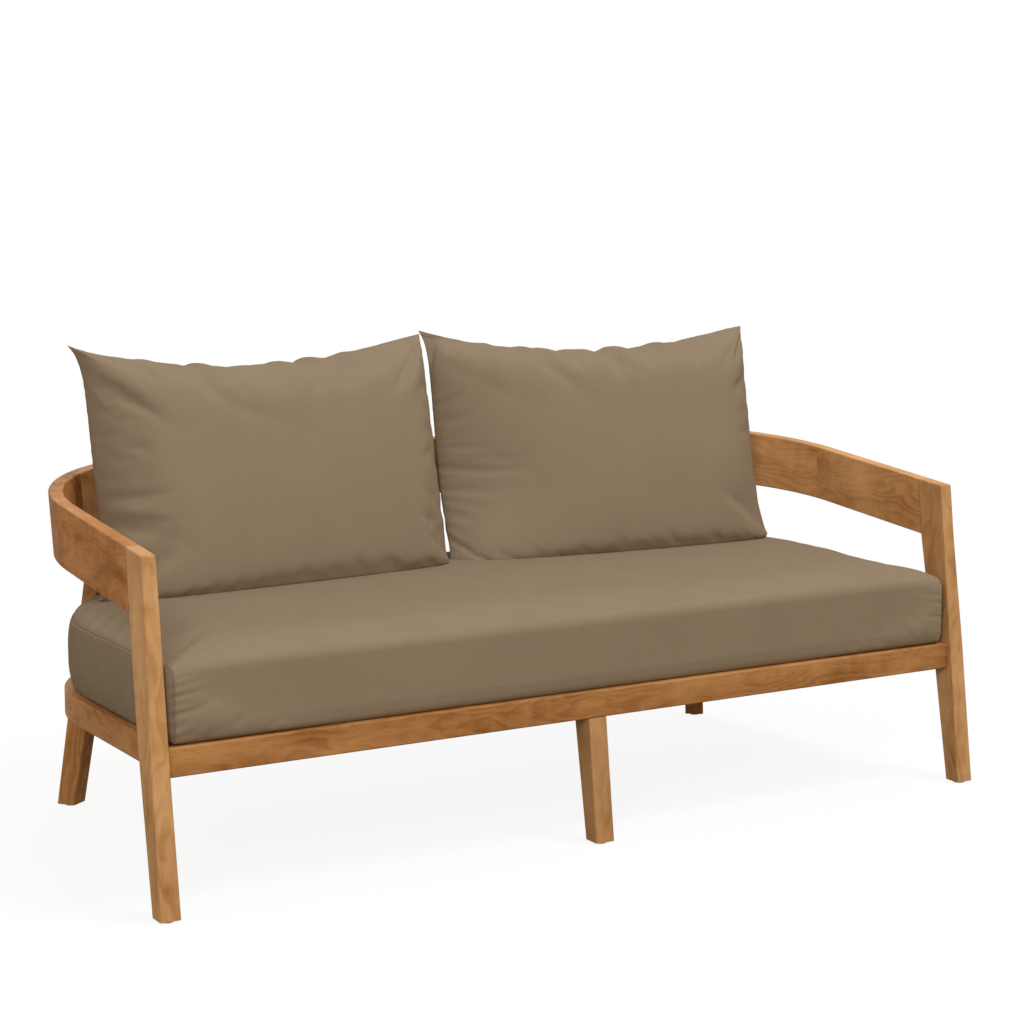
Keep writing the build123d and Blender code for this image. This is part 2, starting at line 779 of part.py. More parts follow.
# Slats from front to back, each cut to the inside of the frame
for number in range(2 * slats_per_side):
    slat_x = slat_pitch * (number - slats_per_side + half_share)
    slat_x += brace_width / 2 if slat_x > 0 else -brace_width / 2
    with BuildPart() as slat:
        with BuildSketch(Plane.XY.offset(slat_bottom)):
            with Locations((slat_x, 0)):
                Rectangle(slat_width, 2 * overall_depth)
            with BuildLine():
                frame_inside_line(slat_end_gap)
            make_face(mode=Mode.INTERSECT)
        extrude(amount=slat_thickness)
        fillet(slat.edges().filter_by(Axis.Y).group_by(Axis.Z)[-1], radius=slat_edge_round)
    slat.part.label = f"seat_slat_{number + 1:02d}"
    export_step(slat.part, f"parts/{slat.part.label}.step")

# The rear legs' bolts, with a hexagon socket in each head
with BuildPart() as rear_leg_bolts:
    with Locations(*bolt_planes):
        with Locations((0, 0, bolt_seat_reach)):
            Cylinder(bolt_diameter / 2, bolt_length, align=(Align.CENTER, Align.CENTER, Align.MIN))
            Cylinder(
                bolt_head_diameter / 2, bolt_head_height, align=(Align.CENTER, Align.CENTER, Align.MAX)
            )
    for plane in bolt_planes:
        with BuildSketch(plane.offset(bolt_seat_reach - bolt_head_height)):
            RegularPolygon(bolt_socket_size / 2, side_count=6, major_radius=False)
        extrude(amount=bolt_socket_depth, mode=Mode.SUBTRACT)
    mirror(about=Plane.YZ)
rear_leg_bolts.part.label = "rear_leg_bolts"
export_step(rear_leg_bolts.part, "parts/rear_leg_bolts.step")

with BuildPart() as rear_leg_washers:
    with Locations(*bolt_planes):
        with Locations((0, 0, bolt_seat_reach)):
            Cylinder(
                washer_diameter / 2, washer_thickness, align=(Align.CENTER, Align.CENTER, Align.MIN)
            )
    bolt_holes(frame_inner_radius)
    mirror(about=Plane.YZ)
rear_leg_washers.part.label = "rear_leg_washers"
export_step(rear_leg_washers.part, "parts/rear_leg_washers.step")

with BuildPart() as rear_leg_inserts:
    with Locations(*bolt_planes):
        with Locations((0, 0, rear_leg_seat_reach + insert_setback)):
            Cylinder(
                insert_diameter / 2, insert_length, align=(Align.CENTER, Align.CENTER, Align.MIN)
            )
    bolt_holes(rear_leg_seat_reach + insert_setback + insert_length)
    mirror(about=Plane.YZ)
rear_leg_inserts.part.label = "rear_leg_inserts"
export_step(rear_leg_inserts.part, "parts/rear_leg_inserts.step")


def seat_outline(height, draw):
    """Outline of the seat cushion at a height, drawn in from its fullest size."""
    side = frame_half_width - seat_side_gap - draw
    front = seat_front_y + draw
    rear = seat_back_y - draw
    rear_round = seat_rear_radius - draw
    front_round = seat_front_radius + draw
    with BuildSketch(Plane.XY.offset(height)) as outline:
        with BuildLine():
            Line((-side + front_round, front), (side - front_round, front))
            CenterArc((side - front_round, front + front_round), front_round, -90, 90)
            Line((side, front + front_round), (side, rear - rear_round))
            CenterArc((side - rear_round, rear - rear_round), rear_round, 0, 90)
            Line((side - rear_round, rear), (-side + rear_round, rear))
            CenterArc((-side + rear_round, rear - rear_round), rear_round, 90, 90)
            Line((-side, rear - rear_round), (-side, front + front_round))
            CenterArc((-side + front_round, front + front_round), front_round, 180, 90)
        make_face()
    return outline.sketch


# Seat cushion: a boxed border that bulges a little, and a crowned top
seat_border_shares = ((0, 1), (0.1, 0.3), (0.35, 0), (0.65, 0), (0.9, 0.25), (1, 0.6))
seat_crown_shares = ((0, 0), (0.45, 0.14), (0.8, 0.45), (1, 1))
seat_bottom = frame_top + cushion_gap
seat_seam_height = seat_bottom + seat_height
seat_seam_draw = seat_border_shares[-1][1] * seat_edge_draw
with BuildPart() as seat_cushion:
    border = [
        seat_outline(seat_bottom + rise_share * seat_height, draw_share * seat_edge_draw)
        for rise_share, draw_share in seat_border_shares
    ]
    loft(border)
    crown = [
        seat_outline(
            seat_seam_height + rise_share * seat_crown, seat_seam_draw + run_share * seat_crown_run
        )
        for rise_share, run_share in seat_crown_shares
    ]
    loft(crown)
seat_cushion.part.label = "seat_cushion"
export_step(seat_cushion.part, "parts/seat_cushion.step")


# Back cushion: knife edges that dip between pointed ears, fullest in the middle
back_contour_shares = (
    (0, 0, 0),
    (0.3, 0.18, 0.09),
    (0.6, 0.38, 0.25),
    (0.85, 0.65, 0.55),
    (1, 1, 1),
)


def back_contour(reach, corner_share, side_share):
    """Outline of a back cushion at a distance in front of or behind its seam."""
    corner_x = back_width / 2 - corner_share * back_corner_run
    corner_top = back_height / 2 - corner_share * back_corner_rise
    corner_bottom = -corner_top
    inner = -back_width / 2 + back_inner_draw + side_share * back_side_run
    outer = back_width / 2 - back_outer_draw - side_share * back_side_run
    top = back_height / 2 - back_top_dip - side_share * back_edge_rise
    bottom = -back_height / 2 + back_bottom_dip + side_share * back_edge_rise
    with BuildSketch(back_middle_plane.offset(reach)) as outline:
        with BuildLine():
            ThreePointArc((-corner_x, corner_bottom), (0, bottom), (corner_x, corner_bottom))
            ThreePointArc((corner_x, corner_bottom), (outer, 0), (corner_x, corner_top))
            ThreePointArc((corner_x, corner_top), (0, top), (-corner_x, corner_top))
            ThreePointArc((-corner_x, corner_top), (inner, 0), (-corner_x, corner_bottom))
        make_face()
    return outline.sketch


with BuildPart() as back_cushion:
    for thickness in (back_front_thickness, -back_rear_thickness):
        contours = [
            back_contour(thickness_share * thickness, corner_share, side_share)
            for thickness_share, corner_share, side_share in back_contour_shares
        ]
        loft(contours)
export_pair(back_cushion.part, "back_cushion_{}")
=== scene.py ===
"""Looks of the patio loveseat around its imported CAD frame: teak, cushions, hardware, camera and light."""

import math
from functools import partial
from itertools import count

import bmesh
import bpy
import numpy as np
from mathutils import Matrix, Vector
from mathutils.bvhtree import BVHTree


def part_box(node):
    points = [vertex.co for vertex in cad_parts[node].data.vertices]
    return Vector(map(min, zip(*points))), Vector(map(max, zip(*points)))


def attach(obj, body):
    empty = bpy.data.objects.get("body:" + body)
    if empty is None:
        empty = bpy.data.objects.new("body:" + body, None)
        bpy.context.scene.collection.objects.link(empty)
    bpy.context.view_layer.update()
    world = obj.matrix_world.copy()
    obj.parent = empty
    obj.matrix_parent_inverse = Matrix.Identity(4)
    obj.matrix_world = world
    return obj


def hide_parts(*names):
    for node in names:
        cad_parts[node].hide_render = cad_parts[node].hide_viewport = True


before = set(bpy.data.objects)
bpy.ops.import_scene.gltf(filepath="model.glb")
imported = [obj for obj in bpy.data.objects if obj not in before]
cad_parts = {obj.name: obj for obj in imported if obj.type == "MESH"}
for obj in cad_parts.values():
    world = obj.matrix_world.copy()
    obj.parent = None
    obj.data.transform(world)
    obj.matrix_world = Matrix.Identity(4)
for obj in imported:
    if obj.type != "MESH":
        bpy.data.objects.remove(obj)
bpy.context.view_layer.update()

# Camera. It stands to the left of the sofa, a little above its arms, and looks at it
# through a long lens.
camera_place = (-2.2127, -3.7508, 1.1931)
camera_turn = (math.radians(82.59), 0, math.radians(-30.925))


def set_up(owner, **settings):
    """The owner, with its settings made."""
    for name, value in settings.items():
        setattr(owner, name, value)
    return owner


def linked(name, data, **settings):
    """A new object of the data, linked into the scene."""
    made = bpy.data.objects.new(name, data)
    bpy.context.scene.collection.objects.link(made)
    return set_up(made, **settings)


camera_lens = set_up(bpy.data.cameras.new("photo_camera"), lens=79.73, sensor_width=36, shift_y=-0.0308)
camera = linked("photo_camera", camera_lens, location=camera_place, rotation_euler=camera_turn)
bpy.context.scene.camera = camera
bpy.context.scene.view_settings.view_transform = "Standard"

# Studio. A white room with a large soft lamp high on the right, and weaker ones on the left and
# behind. The camera sees the room as plain white. Its fill is a little warm where the lamps are
# a little cool, and the floor keeps a faint shadow.
room_light = 0.48
room_tint = (1.0, 0.95, 0.88, 1)
lamp_tint = (0.92, 0.95, 1.0)
lamps = (
    ("high_lamp", Vector((2.2, -3.2, 6.8)), 3.2, 336),
    ("side_lamp", Vector((-3.6, -4.4, 3.4)), 2.4, 138),
    ("rear_lamp", Vector((1.2, 4.8, 3.6)), 3.0, 62),
)
lamp_aim = Vector((0, 0, 0.4))
floor_radius = 14
floor_segments = 96
floor_reflects = (0.335, 0.295, 0.225, 1)
plain_white = (1, 1, 1, 1)
shadow_share = 0.10
shadow_reach = (1.2, 2.4)


def node_tree(owner):
    """The owner's node tree, emptied."""
    owner.use_nodes = True
    owner.node_tree.nodes.clear()
    return owner.node_tree


def add_node(tree, kind, inputs=None, **settings):
    """A node with its settings, and its inputs set to values or linked to outputs."""
    made = set_up(tree.nodes.new(kind), **settings)
    for name, value in (inputs or {}).items():
        if isinstance(value, bpy.types.NodeSocket):
            tree.links.new(value, made.inputs[name])
        else:
            made.inputs[name].default_value = value
    return made


def output_of(tree, kind, inputs=None, socket=0, **settings):
    """One output of a new node."""
    return add_node(tree, kind, inputs, **settings).outputs[socket]


def math_node(tree, operation, *values, clamp=False):
    """Output of a Math node whose inputs are numbers or outputs."""
    inputs = dict(enumerate(values))
    return output_of(tree, "ShaderNodeMath", inputs, operation=operation, use_clamp=clamp)


def vector_node(tree, operation, *values, socket="Vector"):
    """Output of a Vector Math node."""
    return output_of(tree, "ShaderNodeVectorMath", dict(enumerate(values)), socket, operation=operation)


def map_range(tree, value, *limits, way="LINEAR"):
    """Output of a Map Range node, from its first two limits to its last two."""
    inputs = dict(enumerate((value, *limits)))
    return output_of(tree, "ShaderNodeMapRange", inputs, interpolation_type=way)


def seen_directly(tree):
    """One where the camera looks straight, or through gloss or glass, and nought elsewhere."""
    path = add_node(tree, "ShaderNodeLightPath")
    seen = math_node(tree, "ADD", path.outputs["Is Camera Ray"], path.outputs["Is Glossy Ray"])
    return math_node(tree, "ADD", seen, path.outputs["Is Transmission Ray"], clamp=True)


room = bpy.data.worlds.new("white_room")
bpy.context.scene.world = room
tree = node_tree(room)
dim = output_of(tree, "ShaderNodeBackground", {"Color": room_tint, "Strength": room_light})
white = output_of(tree, "ShaderNodeBackground", {"Color": plain_white, "Strength": 1.0})
mix = output_of(tree, "ShaderNodeMixShader", {0: seen_directly(tree), 1: dim, 2: white})
add_node(tree, "ShaderNodeOutputWorld", {"Surface": mix})

floor_paint = bpy.data.materials.new("white_floor")
tree = node_tree(floor_paint)
paint = output_of(tree, "ShaderNodeBsdfDiffuse", {"Color": floor_reflects})
place = output_of(tree, "ShaderNodeTexCoord", socket="Object")
far = vector_node(tree, "LENGTH", place, socket="Value")
near = map_range(tree, far, *shadow_reach, shadow_share, 0.0, way="SMOOTHSTEP")
glow = output_of(tree, "ShaderNodeEmission", {"Color": plain_white, "Strength": 1.0})
shadow_paint = output_of(tree, "ShaderNodeBsdfDiffuse", {"Color": plain_white})
seen_floor = output_of(tree, "ShaderNodeMixShader", {0: near, 1: glow, 2: shadow_paint})
mix = output_of(tree, "ShaderNodeMixShader", {0: seen_directly(tree), 1: paint, 2: seen_floor})
add_node(tree, "ShaderNodeOutputMaterial", {"Surface": mix})


def mesh_of(shape, mesh):
    """A mesh that takes the shape of a bmesh."""
    shape.to_mesh(mesh)
    shape.free()
    return mesh


floor_shape = bmesh.new()
bmesh.ops.create_circle(floor_shape, cap_ends=True, segments=floor_segments, radius=floor_radius)
floor_mesh = mesh_of(floor_shape, bpy.data.meshes.new("studio_floor"))
floor_mesh.materials.append(floor_paint)
studio_floor = linked("studio_floor", floor_mesh)

for name, place, width, watts in lamps:
    light = bpy.data.lights.new(name, "AREA")
    set_up(light, shape="DISK", size=width, energy=watts, color=lamp_tint)
    turn = (lamp_aim - place).to_track_quat("-Z", "Y").to_euler()
    linked(name, light, location=place, rotation_euler=turn)

# Seat frame. Straight and curved rails of sawn teak, glued end to end on loose tenons. Each board
# is cut from its own place in the log, so its figure and tone differ from its neighbour's.
teak_pale = (0.62, 0.345, 0.148, 1)
teak_deep = (0.31, 0.130, 0.038, 1)
teak_pore = (0.16, 0.062, 0.018, 1)
teak_gloss = 0.05
teak_bump = (0.25, 0.0004)
teak_roughness = 0.52
ring_width = 0.0135
log_shift = (3.71, 5.13, 7.37)
heart_sway = (0.18, 0.16)
flame_reach = 0.058
ripple_reach = 0.9
late_power = 1.4
late_fade = (0.62, 1.0, 1.0, 0.0)
figure_strength = (0.35, 0.65, 0.14, 0.60)
blotch_tone = (1.1, -0.24)
curl_strength = (0.38, 0.62, 0.15, 1.0)
curl_tone = 0.6
fibre_tone = 0.26
pore_places = (0.64, 0.72, 0.0, 1.0)
pore_tone = 0.45
# Turns in a metre along and across the grain, detail and roughness of each pattern.
wood_patterns = {
    "wander": (2.2, 7.0, 3.0, 0.5),
    "flame": (6.5, 13.0, 1.0, 0.5),
    "ripple": (24.0, 70.0, 2.0, 0.5),
    "blotch": (6.0, 15.0, 2.0, 0.5),
    "curl": (30.0, 13.0, 2.0, 0.6),
    "curl_place": (2.5, 9.0, 1.0, 0.5),
    "fibre": (9.0, 380.0, 3.0, 0.6),
    "pore": (60.0, 1500.0, 1.0, 0.5),
}
surface_outputs = (("Colour", "Color"), ("Roughness", "Float"), ("Height", "Float"))
# Each board's middle, the way of its grain and of its face, how far the heart of its log lies
# across it and behind its face, and its depth of colour and brightness.
seat_boards = {
    "front_rail": ((0, -0.347, 0.256), (1, 0, 0), (0, -1, 0), (0.012, 0.055, 1.25, 0.95)),
    "side_rail_left": ((-0.823, -0.15, 0.256), (0, 1, 0), (-1, 0, 0), (-0.02, 0.05, 1.2, 0.98)),
    "side_rail_right": ((0.823, -0.15, 0.256), (0, 1, 0), (1, 0, 0), (0.01, 0.06, 1.15, 1)),
    "rear_rail": ((0, 0.372, 0.256), (1, 0, 0), (0, 1, 0), (-0.01, 0.05, 1.15, 1)),
    "frame_corner_left_front": ((-0.8, 0.19, 0.256), (0.25, 1, 0), (-1, 0.25, 0), (0.01, 0.045, 1.1, 1.1)),
    "frame_corner_left_rear": ((-0.64, 0.35, 0.256), (1, 0.3, 0), (-0.3, 1, 0), (-0.02, 0.06, 1, 1)),
    "frame_corner_right_front": ((0.8, 0.19, 0.256), (-0.25, 1, 0), (1, 0.25, 0), (0.02, 0.05, 1.1, 1)),
    "frame_corner_right_rear": ((0.64, 0.35, 0.256), (1, -0.3, 0), (0.3, 1, 0), (0.01, 0.06, 1.2, 1)),
}


def node_group(name, kind, inputs, outputs):
    """A new node group with its named sockets, and what it is given."""
    group = bpy.data.node_groups.new(name, kind)
    for way, sockets in (("INPUT", inputs), ("OUTPUT", outputs)):
        for title, shape, *value in sockets:
            socket = group.interface.new_socket(title, in_out=way, socket_type="NodeSocket" + shape)
            if value:
                socket.default_value = value[0]
    return group, add_node(group, "NodeGroupInput").outputs


def noise_node(tree, place, scale, detail=2.0, roughness=0.5):
    """Outputs of a Noise Texture node."""
    sizes = {"Vector": place, "Scale": scale, "Detail": detail, "Roughness": roughness}
    return add_node(tree, "ShaderNodeTexNoise", sizes).outputs


def make_teak_figure():
    """Group: rings of the log, fibres and pores as a board's sawn faces show them."""
    group, given = node_group(
        "teak_figure",
        "ShaderNodeTree",
        (
            ("Board", "Vector", (0, 0, 0)), ("Seed", "Float", 0.0),
            ("Heart across", "Float", 0.01), ("Heart depth", "Float", 0.05),
            ("Ring width", "Float", ring_width),
            ("Depth of colour", "Float", 1.0), ("Brightness", "Float", 1.0),
            ("Pale wood", "Color", teak_pale), ("Deep wood", "Color", teak_deep),
            ("Pore", "Color", teak_pore),
        ),
        surface_outputs,
    )
    calc = partial(math_node, group)
    output = partial(output_of, group)
    shift = vector_node(group, "MULTIPLY", given["Seed"], log_shift)
    grain = vector_node(group, "ADD", given["Board"], shift)
    noise = {}
    for name, (along, across, detail, roughness) in wood_patterns.items():
        stretched = vector_node(group, "MULTIPLY", grain, (along, across, across))
        noise[name] = noise_node(group, stretched, 1.0, detail, roughness)
    pattern = {name: outputs["Fac"] for name, outputs in noise.items()}
    board = add_node(group, "ShaderNodeSeparateXYZ", {0: given["Board"]}).outputs
    sway = add_node(group, "ShaderNodeSeparateXYZ", {0: noise["wander"]["Color"]}).outputs
    away = []
    for axis, (heart, most) in enumerate(zip(("Heart across", "Heart depth"), heart_sway)):
        straight = calc("SUBTRACT", board[axis + 1], given[heart])
        away.append(calc("ADD", straight, calc("MULTIPLY_ADD", sway[axis], most, -most / 2)))
    across, depth = away
    reach = calc("SQRT", calc("MULTIPLY_ADD", depth, depth, calc("MULTIPLY", across, across)))
    reach = calc("MULTIPLY_ADD", pattern["flame"], flame_reach, reach)
    rings = calc("DIVIDE", reach, given["Ring width"])
    rings = calc("ADD", rings, calc("MULTIPLY", pattern["ripple"], ripple_reach))
    ring_share = calc("FRACT", rings)
    fade = map_range(group, ring_share, *late_fade, way="SMOOTHSTEP")
    late = calc("MULTIPLY", calc("POWER", ring_share, late_power), fade)
    pore = map_range(group, pattern["pore"], *pore_places)
    figure = calc("MULTIPLY", late, map_range(group, pattern["blotch"], *figure_strength))
    figure = calc("ADD", figure, calc("MULTIPLY_ADD", pattern["blotch"], *blotch_tone))
    curl = calc("MULTIPLY_ADD", pattern["curl"], curl_tone, -curl_tone / 2)
    figure = calc("MULTIPLY_ADD", curl, map_range(group, pattern["curl_place"], *curl_strength), figure)
    fibre = calc("MULTIPLY_ADD", pattern["fibre"], fibre_tone, -fibre_tone / 2)
    figure = calc("ADD", figure, fibre, clamp=True)
    shades = {0: figure, 6: given["Pale wood"], 7: given["Deep wood"]}
    wood = output("ShaderNodeMix", shades, 2, data_type="RGBA")
    shades = {0: calc("MULTIPLY", pore, pore_tone), 6: wood, 7: given["Pore"]}
    wood = output("ShaderNodeMix", shades, 2, data_type="RGBA")
    wood = output("ShaderNodeGamma", {"Color": wood, "Gamma": given["Depth of colour"]})
    wood = output("ShaderNodeVectorMath", {0: wood, "Scale": given["Brightness"]}, operation="SCALE")
    roughness = calc("MULTIPLY_ADD", figure, 0.12, teak_roughness)
    roughness = calc("MULTIPLY_ADD", pore, 0.2, roughness)
    height = calc("MULTIPLY_ADD", pore, -1.0, calc("MULTIPLY", pattern["fibre"], 0.5))
    height = calc("MULTIPLY_ADD", late, -0.25, height)
    add_node(group, "NodeGroupOutput", {"Colour": wood, "Roughness": roughness, "Height": height})
    return group


teak_figure = make_teak_figure()
board_numbers = count(1)


def finish_surface(finish, surface, bump, fixed):
    """Close a material with its shader: its colour, roughness and height, the strength and depth
    of its bump, and what is the same all over."""
    tree = finish.node_tree
    colour, roughness, height = surface
    strength, depth = bump
    normal = output_of(tree, "ShaderNodeBump", {"Strength": strength, "Distance": depth, "Height": height})
    inputs = {"Base Color": colour, "Roughness": roughness, "Normal": normal, **fixed}
    shader = output_of(tree, "ShaderNodeBsdfPrincipled", inputs)
    add_node(tree, "ShaderNodeOutputMaterial", {"Surface": shader})
    return finish


def saw_teak(name, middle, along, face, look, colours=()):
    """Material of one board, cut as the tables of boards say."""
    along = Vector(along).normalized()
    across = Vector(face).cross(along).normalized()
    finish = bpy.data.materials.new("teak_" + name)
    tree = node_tree(finish)
    place = output_of(tree, "ShaderNodeTexCoord", socket="Object")
    place = vector_node(tree, "SUBTRACT", place, Vector(middle))
    ways = (along, across, along.cross(across))
    parts = [vector_node(tree, "DOT_PRODUCT", place, way, socket="Value") for way in ways]
    board = output_of(tree, "ShaderNodeCombineXYZ", dict(enumerate(parts)))
    inputs = {"Board": board, "Seed": next(board_numbers)}
    inputs.update(zip(("Heart across", "Heart depth", "Depth of colour", "Brightness"), look))
    inputs.update(zip(("Pale wood", "Deep wood", "Pore"), colours))
    figure = add_node(tree, "ShaderNodeGroup", inputs, node_tree=teak_figure)
    return finish_surface(finish, figure.outputs, teak_bump, {"Specular IOR Level": teak_gloss})


def finish_node(node, finish):
    """Give a CAD node its finish."""
    for material_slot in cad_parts[node].material_slots:
        material_slot.material = finish


def saw_boards(boards):
    """Give each CAD node in a table its own board."""
    for node, cut in boards.items():
        finish_node(node, saw_teak(node, *cut))


saw_boards(seat_boards)

# Legs. Solid teak, sawn to their taper and lean, and glued or bolted to the rails. The front
# pair carries on upwards into the arms.
leg_boards = {
    "front_leg_left": ((-0.853, -0.375, 0.3), (-0.006, 0.125, 1), (0.25, -1, 0.12), (0.01, 0.05, 1, 1.1)),
    "front_leg_right": ((0.853, -0.375, 0.3), (0.006, 0.125, 1), (0.25, -1, 0.12), (-0.01, 0.045, 1, 1.03)),
    "centre_front_leg": ((0, -0.36, 0.12), (0, 0.12, 1), (0, -1, 0.12), (0.015, 0.06, 1.04, 0.86)),
    "rear_leg_left": ((-0.735, 0.35, 0.28), (0.03, -0.04, 1), (-0.8, 0.6, 0), (0.01, 0.05, 1.18, 1.12)),
    "rear_leg_right": ((0.735, 0.35, 0.28), (-0.03, -0.04, 1), (0.8, 0.6, 0), (0.01, 0.05, 1.15, 1)),
}
saw_boards(leg_boards)

# Band of the arms and the back. Two straight arm boards, four curved corner pieces sawn from
# thick planks, and a straight back board, glued end to end.
arm_way = (0, 1, 0.0998)
# The back board and the left rear corner piece are made much brighter than their wood, as painted light
# where they lie in the shade of the back cushions. The right arm and the right front corner piece are
# lightened partly for their own tone and partly as painted light on their shaded inner faces.
band_boards = {
    "arm_left": ((-0.8515, -0.13, 0.555), arm_way, (-1, 0, 0), (0.02, 0.05, 1.34, 1.08)),
    "arm_right": ((0.8515, -0.13, 0.555), arm_way, (-1, 0, 0), (0.025, 0.045, 1.06, 1.2)),
    "band_corner_left_front": ((-0.8, 0.19, 0.59), (0.3, 1, 0.1), (-1, 0.3, 0), (0.01, 0.05, 1.32, 1.05)),
    "band_corner_left_rear": ((-0.65, 0.35, 0.6), (1, 0.4, 0.05), (-0.4, 1, 0), (0, 0.06, 1.15, 1.45)),
    "band_corner_right_front": (
        (0.8, 0.19, 0.59), (-0.25, 1, 0.1), (-1, -0.25, 0), (-0.02, 0.05, 1.06, 1.24)
    ),
    "band_corner_right_rear": ((0.65, 0.35, 0.6), (1, -0.4, 0.05), (0.4, 1, 0), (0.01, 0.06, 1.05, 1.1)),
    "back_board": ((0, 0.38, 0.605), (1, 0, 0), (0, 1, 0), (0.02, 0.05, 0.95, 1.6)),
}
saw_boards(band_boards)

# Slats and the strips that carry them. Planed pale hardwood, out of sight under the seat
# cushion, laid from front to back on ledgers glued inside the rails.
inner_colours = ((0.60, 0.40, 0.21, 1), (0.42, 0.25, 0.115, 1), (0.24, 0.13, 0.06, 1))
inner_look = (0.01, 0.05, 1)
slat_names = [f"seat_slat_{number:02d}" for number in range(1, 15)]
inner_boards = [
    (name, (0, 1, 0), (0.03 * math.sin(number * 2.3), 0.05, 1, 0.94 + 0.07 * math.sin(number * 1.7)))
    for number, name in enumerate(slat_names, 1)
]
for row in ("front", "rear", "corner"):
    inner_boards += [(f"{row}_ledger_{hand}", (1, 0, 0), (*inner_look, 0.92)) for hand in ("left", "right")]
for name in ("corner_block_left", "corner_block_right", "centre_brace"):
    inner_boards.append((name, (0, 1, 0), (*inner_look, 0.90)))
for name, along, look in inner_boards:
    middle = (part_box(name)[0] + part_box(name)[1]) / 2
    finish_node(name, saw_teak(name, middle, along, (0, 0, 1), look, inner_colours))

# Slat screws. Two zinc-plated cross-head screws hold each end of a slat down on its ledger,
# sunk until their heads are level with the wood.
screw_head_radius = 0.0042
screw_head_height = 0.0016
screw_head_corners = 20
screw_recess_width = 0.0011
screw_recess_length = 1.25
screw_recess_rise = 0.45
screw_proud = 0.0003
screw_from_end = 0.014
screw_from_middle = 0.019
steel_tint = (0.56, 0.57, 0.58, 1)
turned = ((900, 3.0), (0.3, 0.0001), 0.72, 160.0)


def uneven_finish(name, colour, roughness, surface, metallic=0.0):
    """Material of a fitting, thread or coil. Its surface has a grain of a scale and detail, a bump
    of a strength and depth, a darkest share of its colour, and the scale of its patches."""
    grain, bump, dark_share, patches = surface
    finish = bpy.data.materials.new(name)
    tree = node_tree(finish)
    place = output_of(tree, "ShaderNodeTexCoord", socket="Object")
    fine = noise_node(tree, place, *grain)["Fac"]
    patchy = noise_node(tree, place, patches)["Fac"] if patches else fine
    dark = tuple(dark_share * part for part in colour[:3]) + (1,)
    tint = output_of(tree, "ShaderNodeMix", {0: patchy, 6: dark, 7: colour}, 2, data_type="RGBA")
    rough = math_node(tree, "MULTIPLY_ADD", fine, 0.2, roughness - 0.1)
    return finish_surface(finish, (tint, rough, fine), bump, {"Metallic": metallic})


def finish_geometry(group, shape, finish, end):
    """Close a Geometry Nodes group: instances made real, with their finish."""
    solid = output_of(group, "GeometryNodeRealizeInstances", {"Geometry": shape})
    done = output_of(group, "GeometryNodeSetMaterial", {"Geometry": solid, "Material": finish})
    add_node(group, "NodeGroupOutput", {end: done})
    return group


def make_screw_heads():
    """Geometry Nodes: a cross-head screw at each point, each turned its own way."""
    sizes = ("Head radius", "Head height", "Recess width")
    group, given = node_group(
        "screw_heads",
        "GeometryNodeTree",
        (("Places", "Geometry"), *((size, "Float") for size in sizes), ("Finish", "Material")),
        (("Screws", "Geometry"),),
    )
    output = partial(output_of, group)
    radius, height, width = (given[size] for size in sizes)
    disc = {"Vertices": screw_head_corners, "Radius": radius, "Depth": height}
    head = output("GeometryNodeMeshCylinder", disc, "Mesh")
    recess = add_node(group, "GeometryNodeJoinGeometry")
    length = math_node(group, "MULTIPLY", radius, screw_recess_length)
    for across, along in ((length, width), (width, length)):
        size = output("ShaderNodeCombineXYZ", {0: across, 1: along, 2: height})
        group.links.new(output("GeometryNodeMeshCube", {"Size": size}, "Mesh"), recess.inputs[0])
    rise = output("ShaderNodeCombineXYZ", {2: math_node(group, "MULTIPLY", height, screw_recess_rise)})
    raised = output("GeometryNodeTransform", {"Geometry": recess.outputs[0], "Translation": rise})
    both = {"Mesh 1": head, "Mesh 2": raised}
    screw = output("GeometryNodeMeshBoolean", both, "Mesh", operation="DIFFERENCE")
    turns = {"Min": (0, 0, 0), "Max": (0, 0, math.tau), "Seed": 7}
    turn = output("FunctionNodeRandomValue", turns, data_type="FLOAT_VECTOR")
    laid = {"Points": given["Places"], "Instance": screw, "Rotation": turn}
    return finish_geometry(group, output("GeometryNodeInstanceOnPoints", laid), given["Finish"], "Screws")


def plain_mesh(name, places, edges=(), faces=()):
    """A mesh of points, and of edges or faces between them."""
    mesh = bpy.data.meshes.new(name)
    mesh.from_pydata([tuple(place) for place in places], list(edges), list(faces))
    return mesh


def made_plain(name, source):
    """Plain mesh of what an object's modifiers make, in place of the object."""
    evaluated = source.evaluated_get(bpy.context.evaluated_depsgraph_get())
    result = bpy.data.meshes.new_from_object(evaluated)
    result.name = name
    source.modifiers.clear()
    bpy.data.objects.remove(source)
    return result


def grown_piece(name, group, mesh, sizes):
    """Piece that a Geometry Nodes group makes of a mesh, with its named inputs set."""
    seed = linked(name + "_seed", mesh)
    maker = seed.modifiers.new("maker", "NODES")
    maker.node_group = group
    for socket in group.interface.items_tree:
        if socket.in_out == "INPUT" and socket.name in sizes:
            maker[socket.identifier] = sizes[socket.name]
    return linked(name, made_plain(name, seed))


zinc_steel = uneven_finish("zinc_steel", steel_tint, 0.35, turned, metallic=1.0)
screw_places = []
for name in slat_names:
    low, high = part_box(name)
    for y in (low[1] + screw_from_end, high[1] - screw_from_end):
        for step in (-screw_from_middle, screw_from_middle):
            x = (low[0] + high[0]) / 2 + step
            screw_places.append((x, y, high[2] + screw_proud - screw_head_height / 2))
screw_sizes = {
    "Head radius": screw_head_radius,
    "Head height": screw_head_height,
    "Recess width": screw_recess_width,
    "Finish": zinc_steel,
}
screw_points = plain_mesh("screw_places", screw_places)
slat_screws = grown_piece("seat_slat_screws", make_screw_heads(), screw_points, screw_sizes)
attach(slat_screws, "frame")

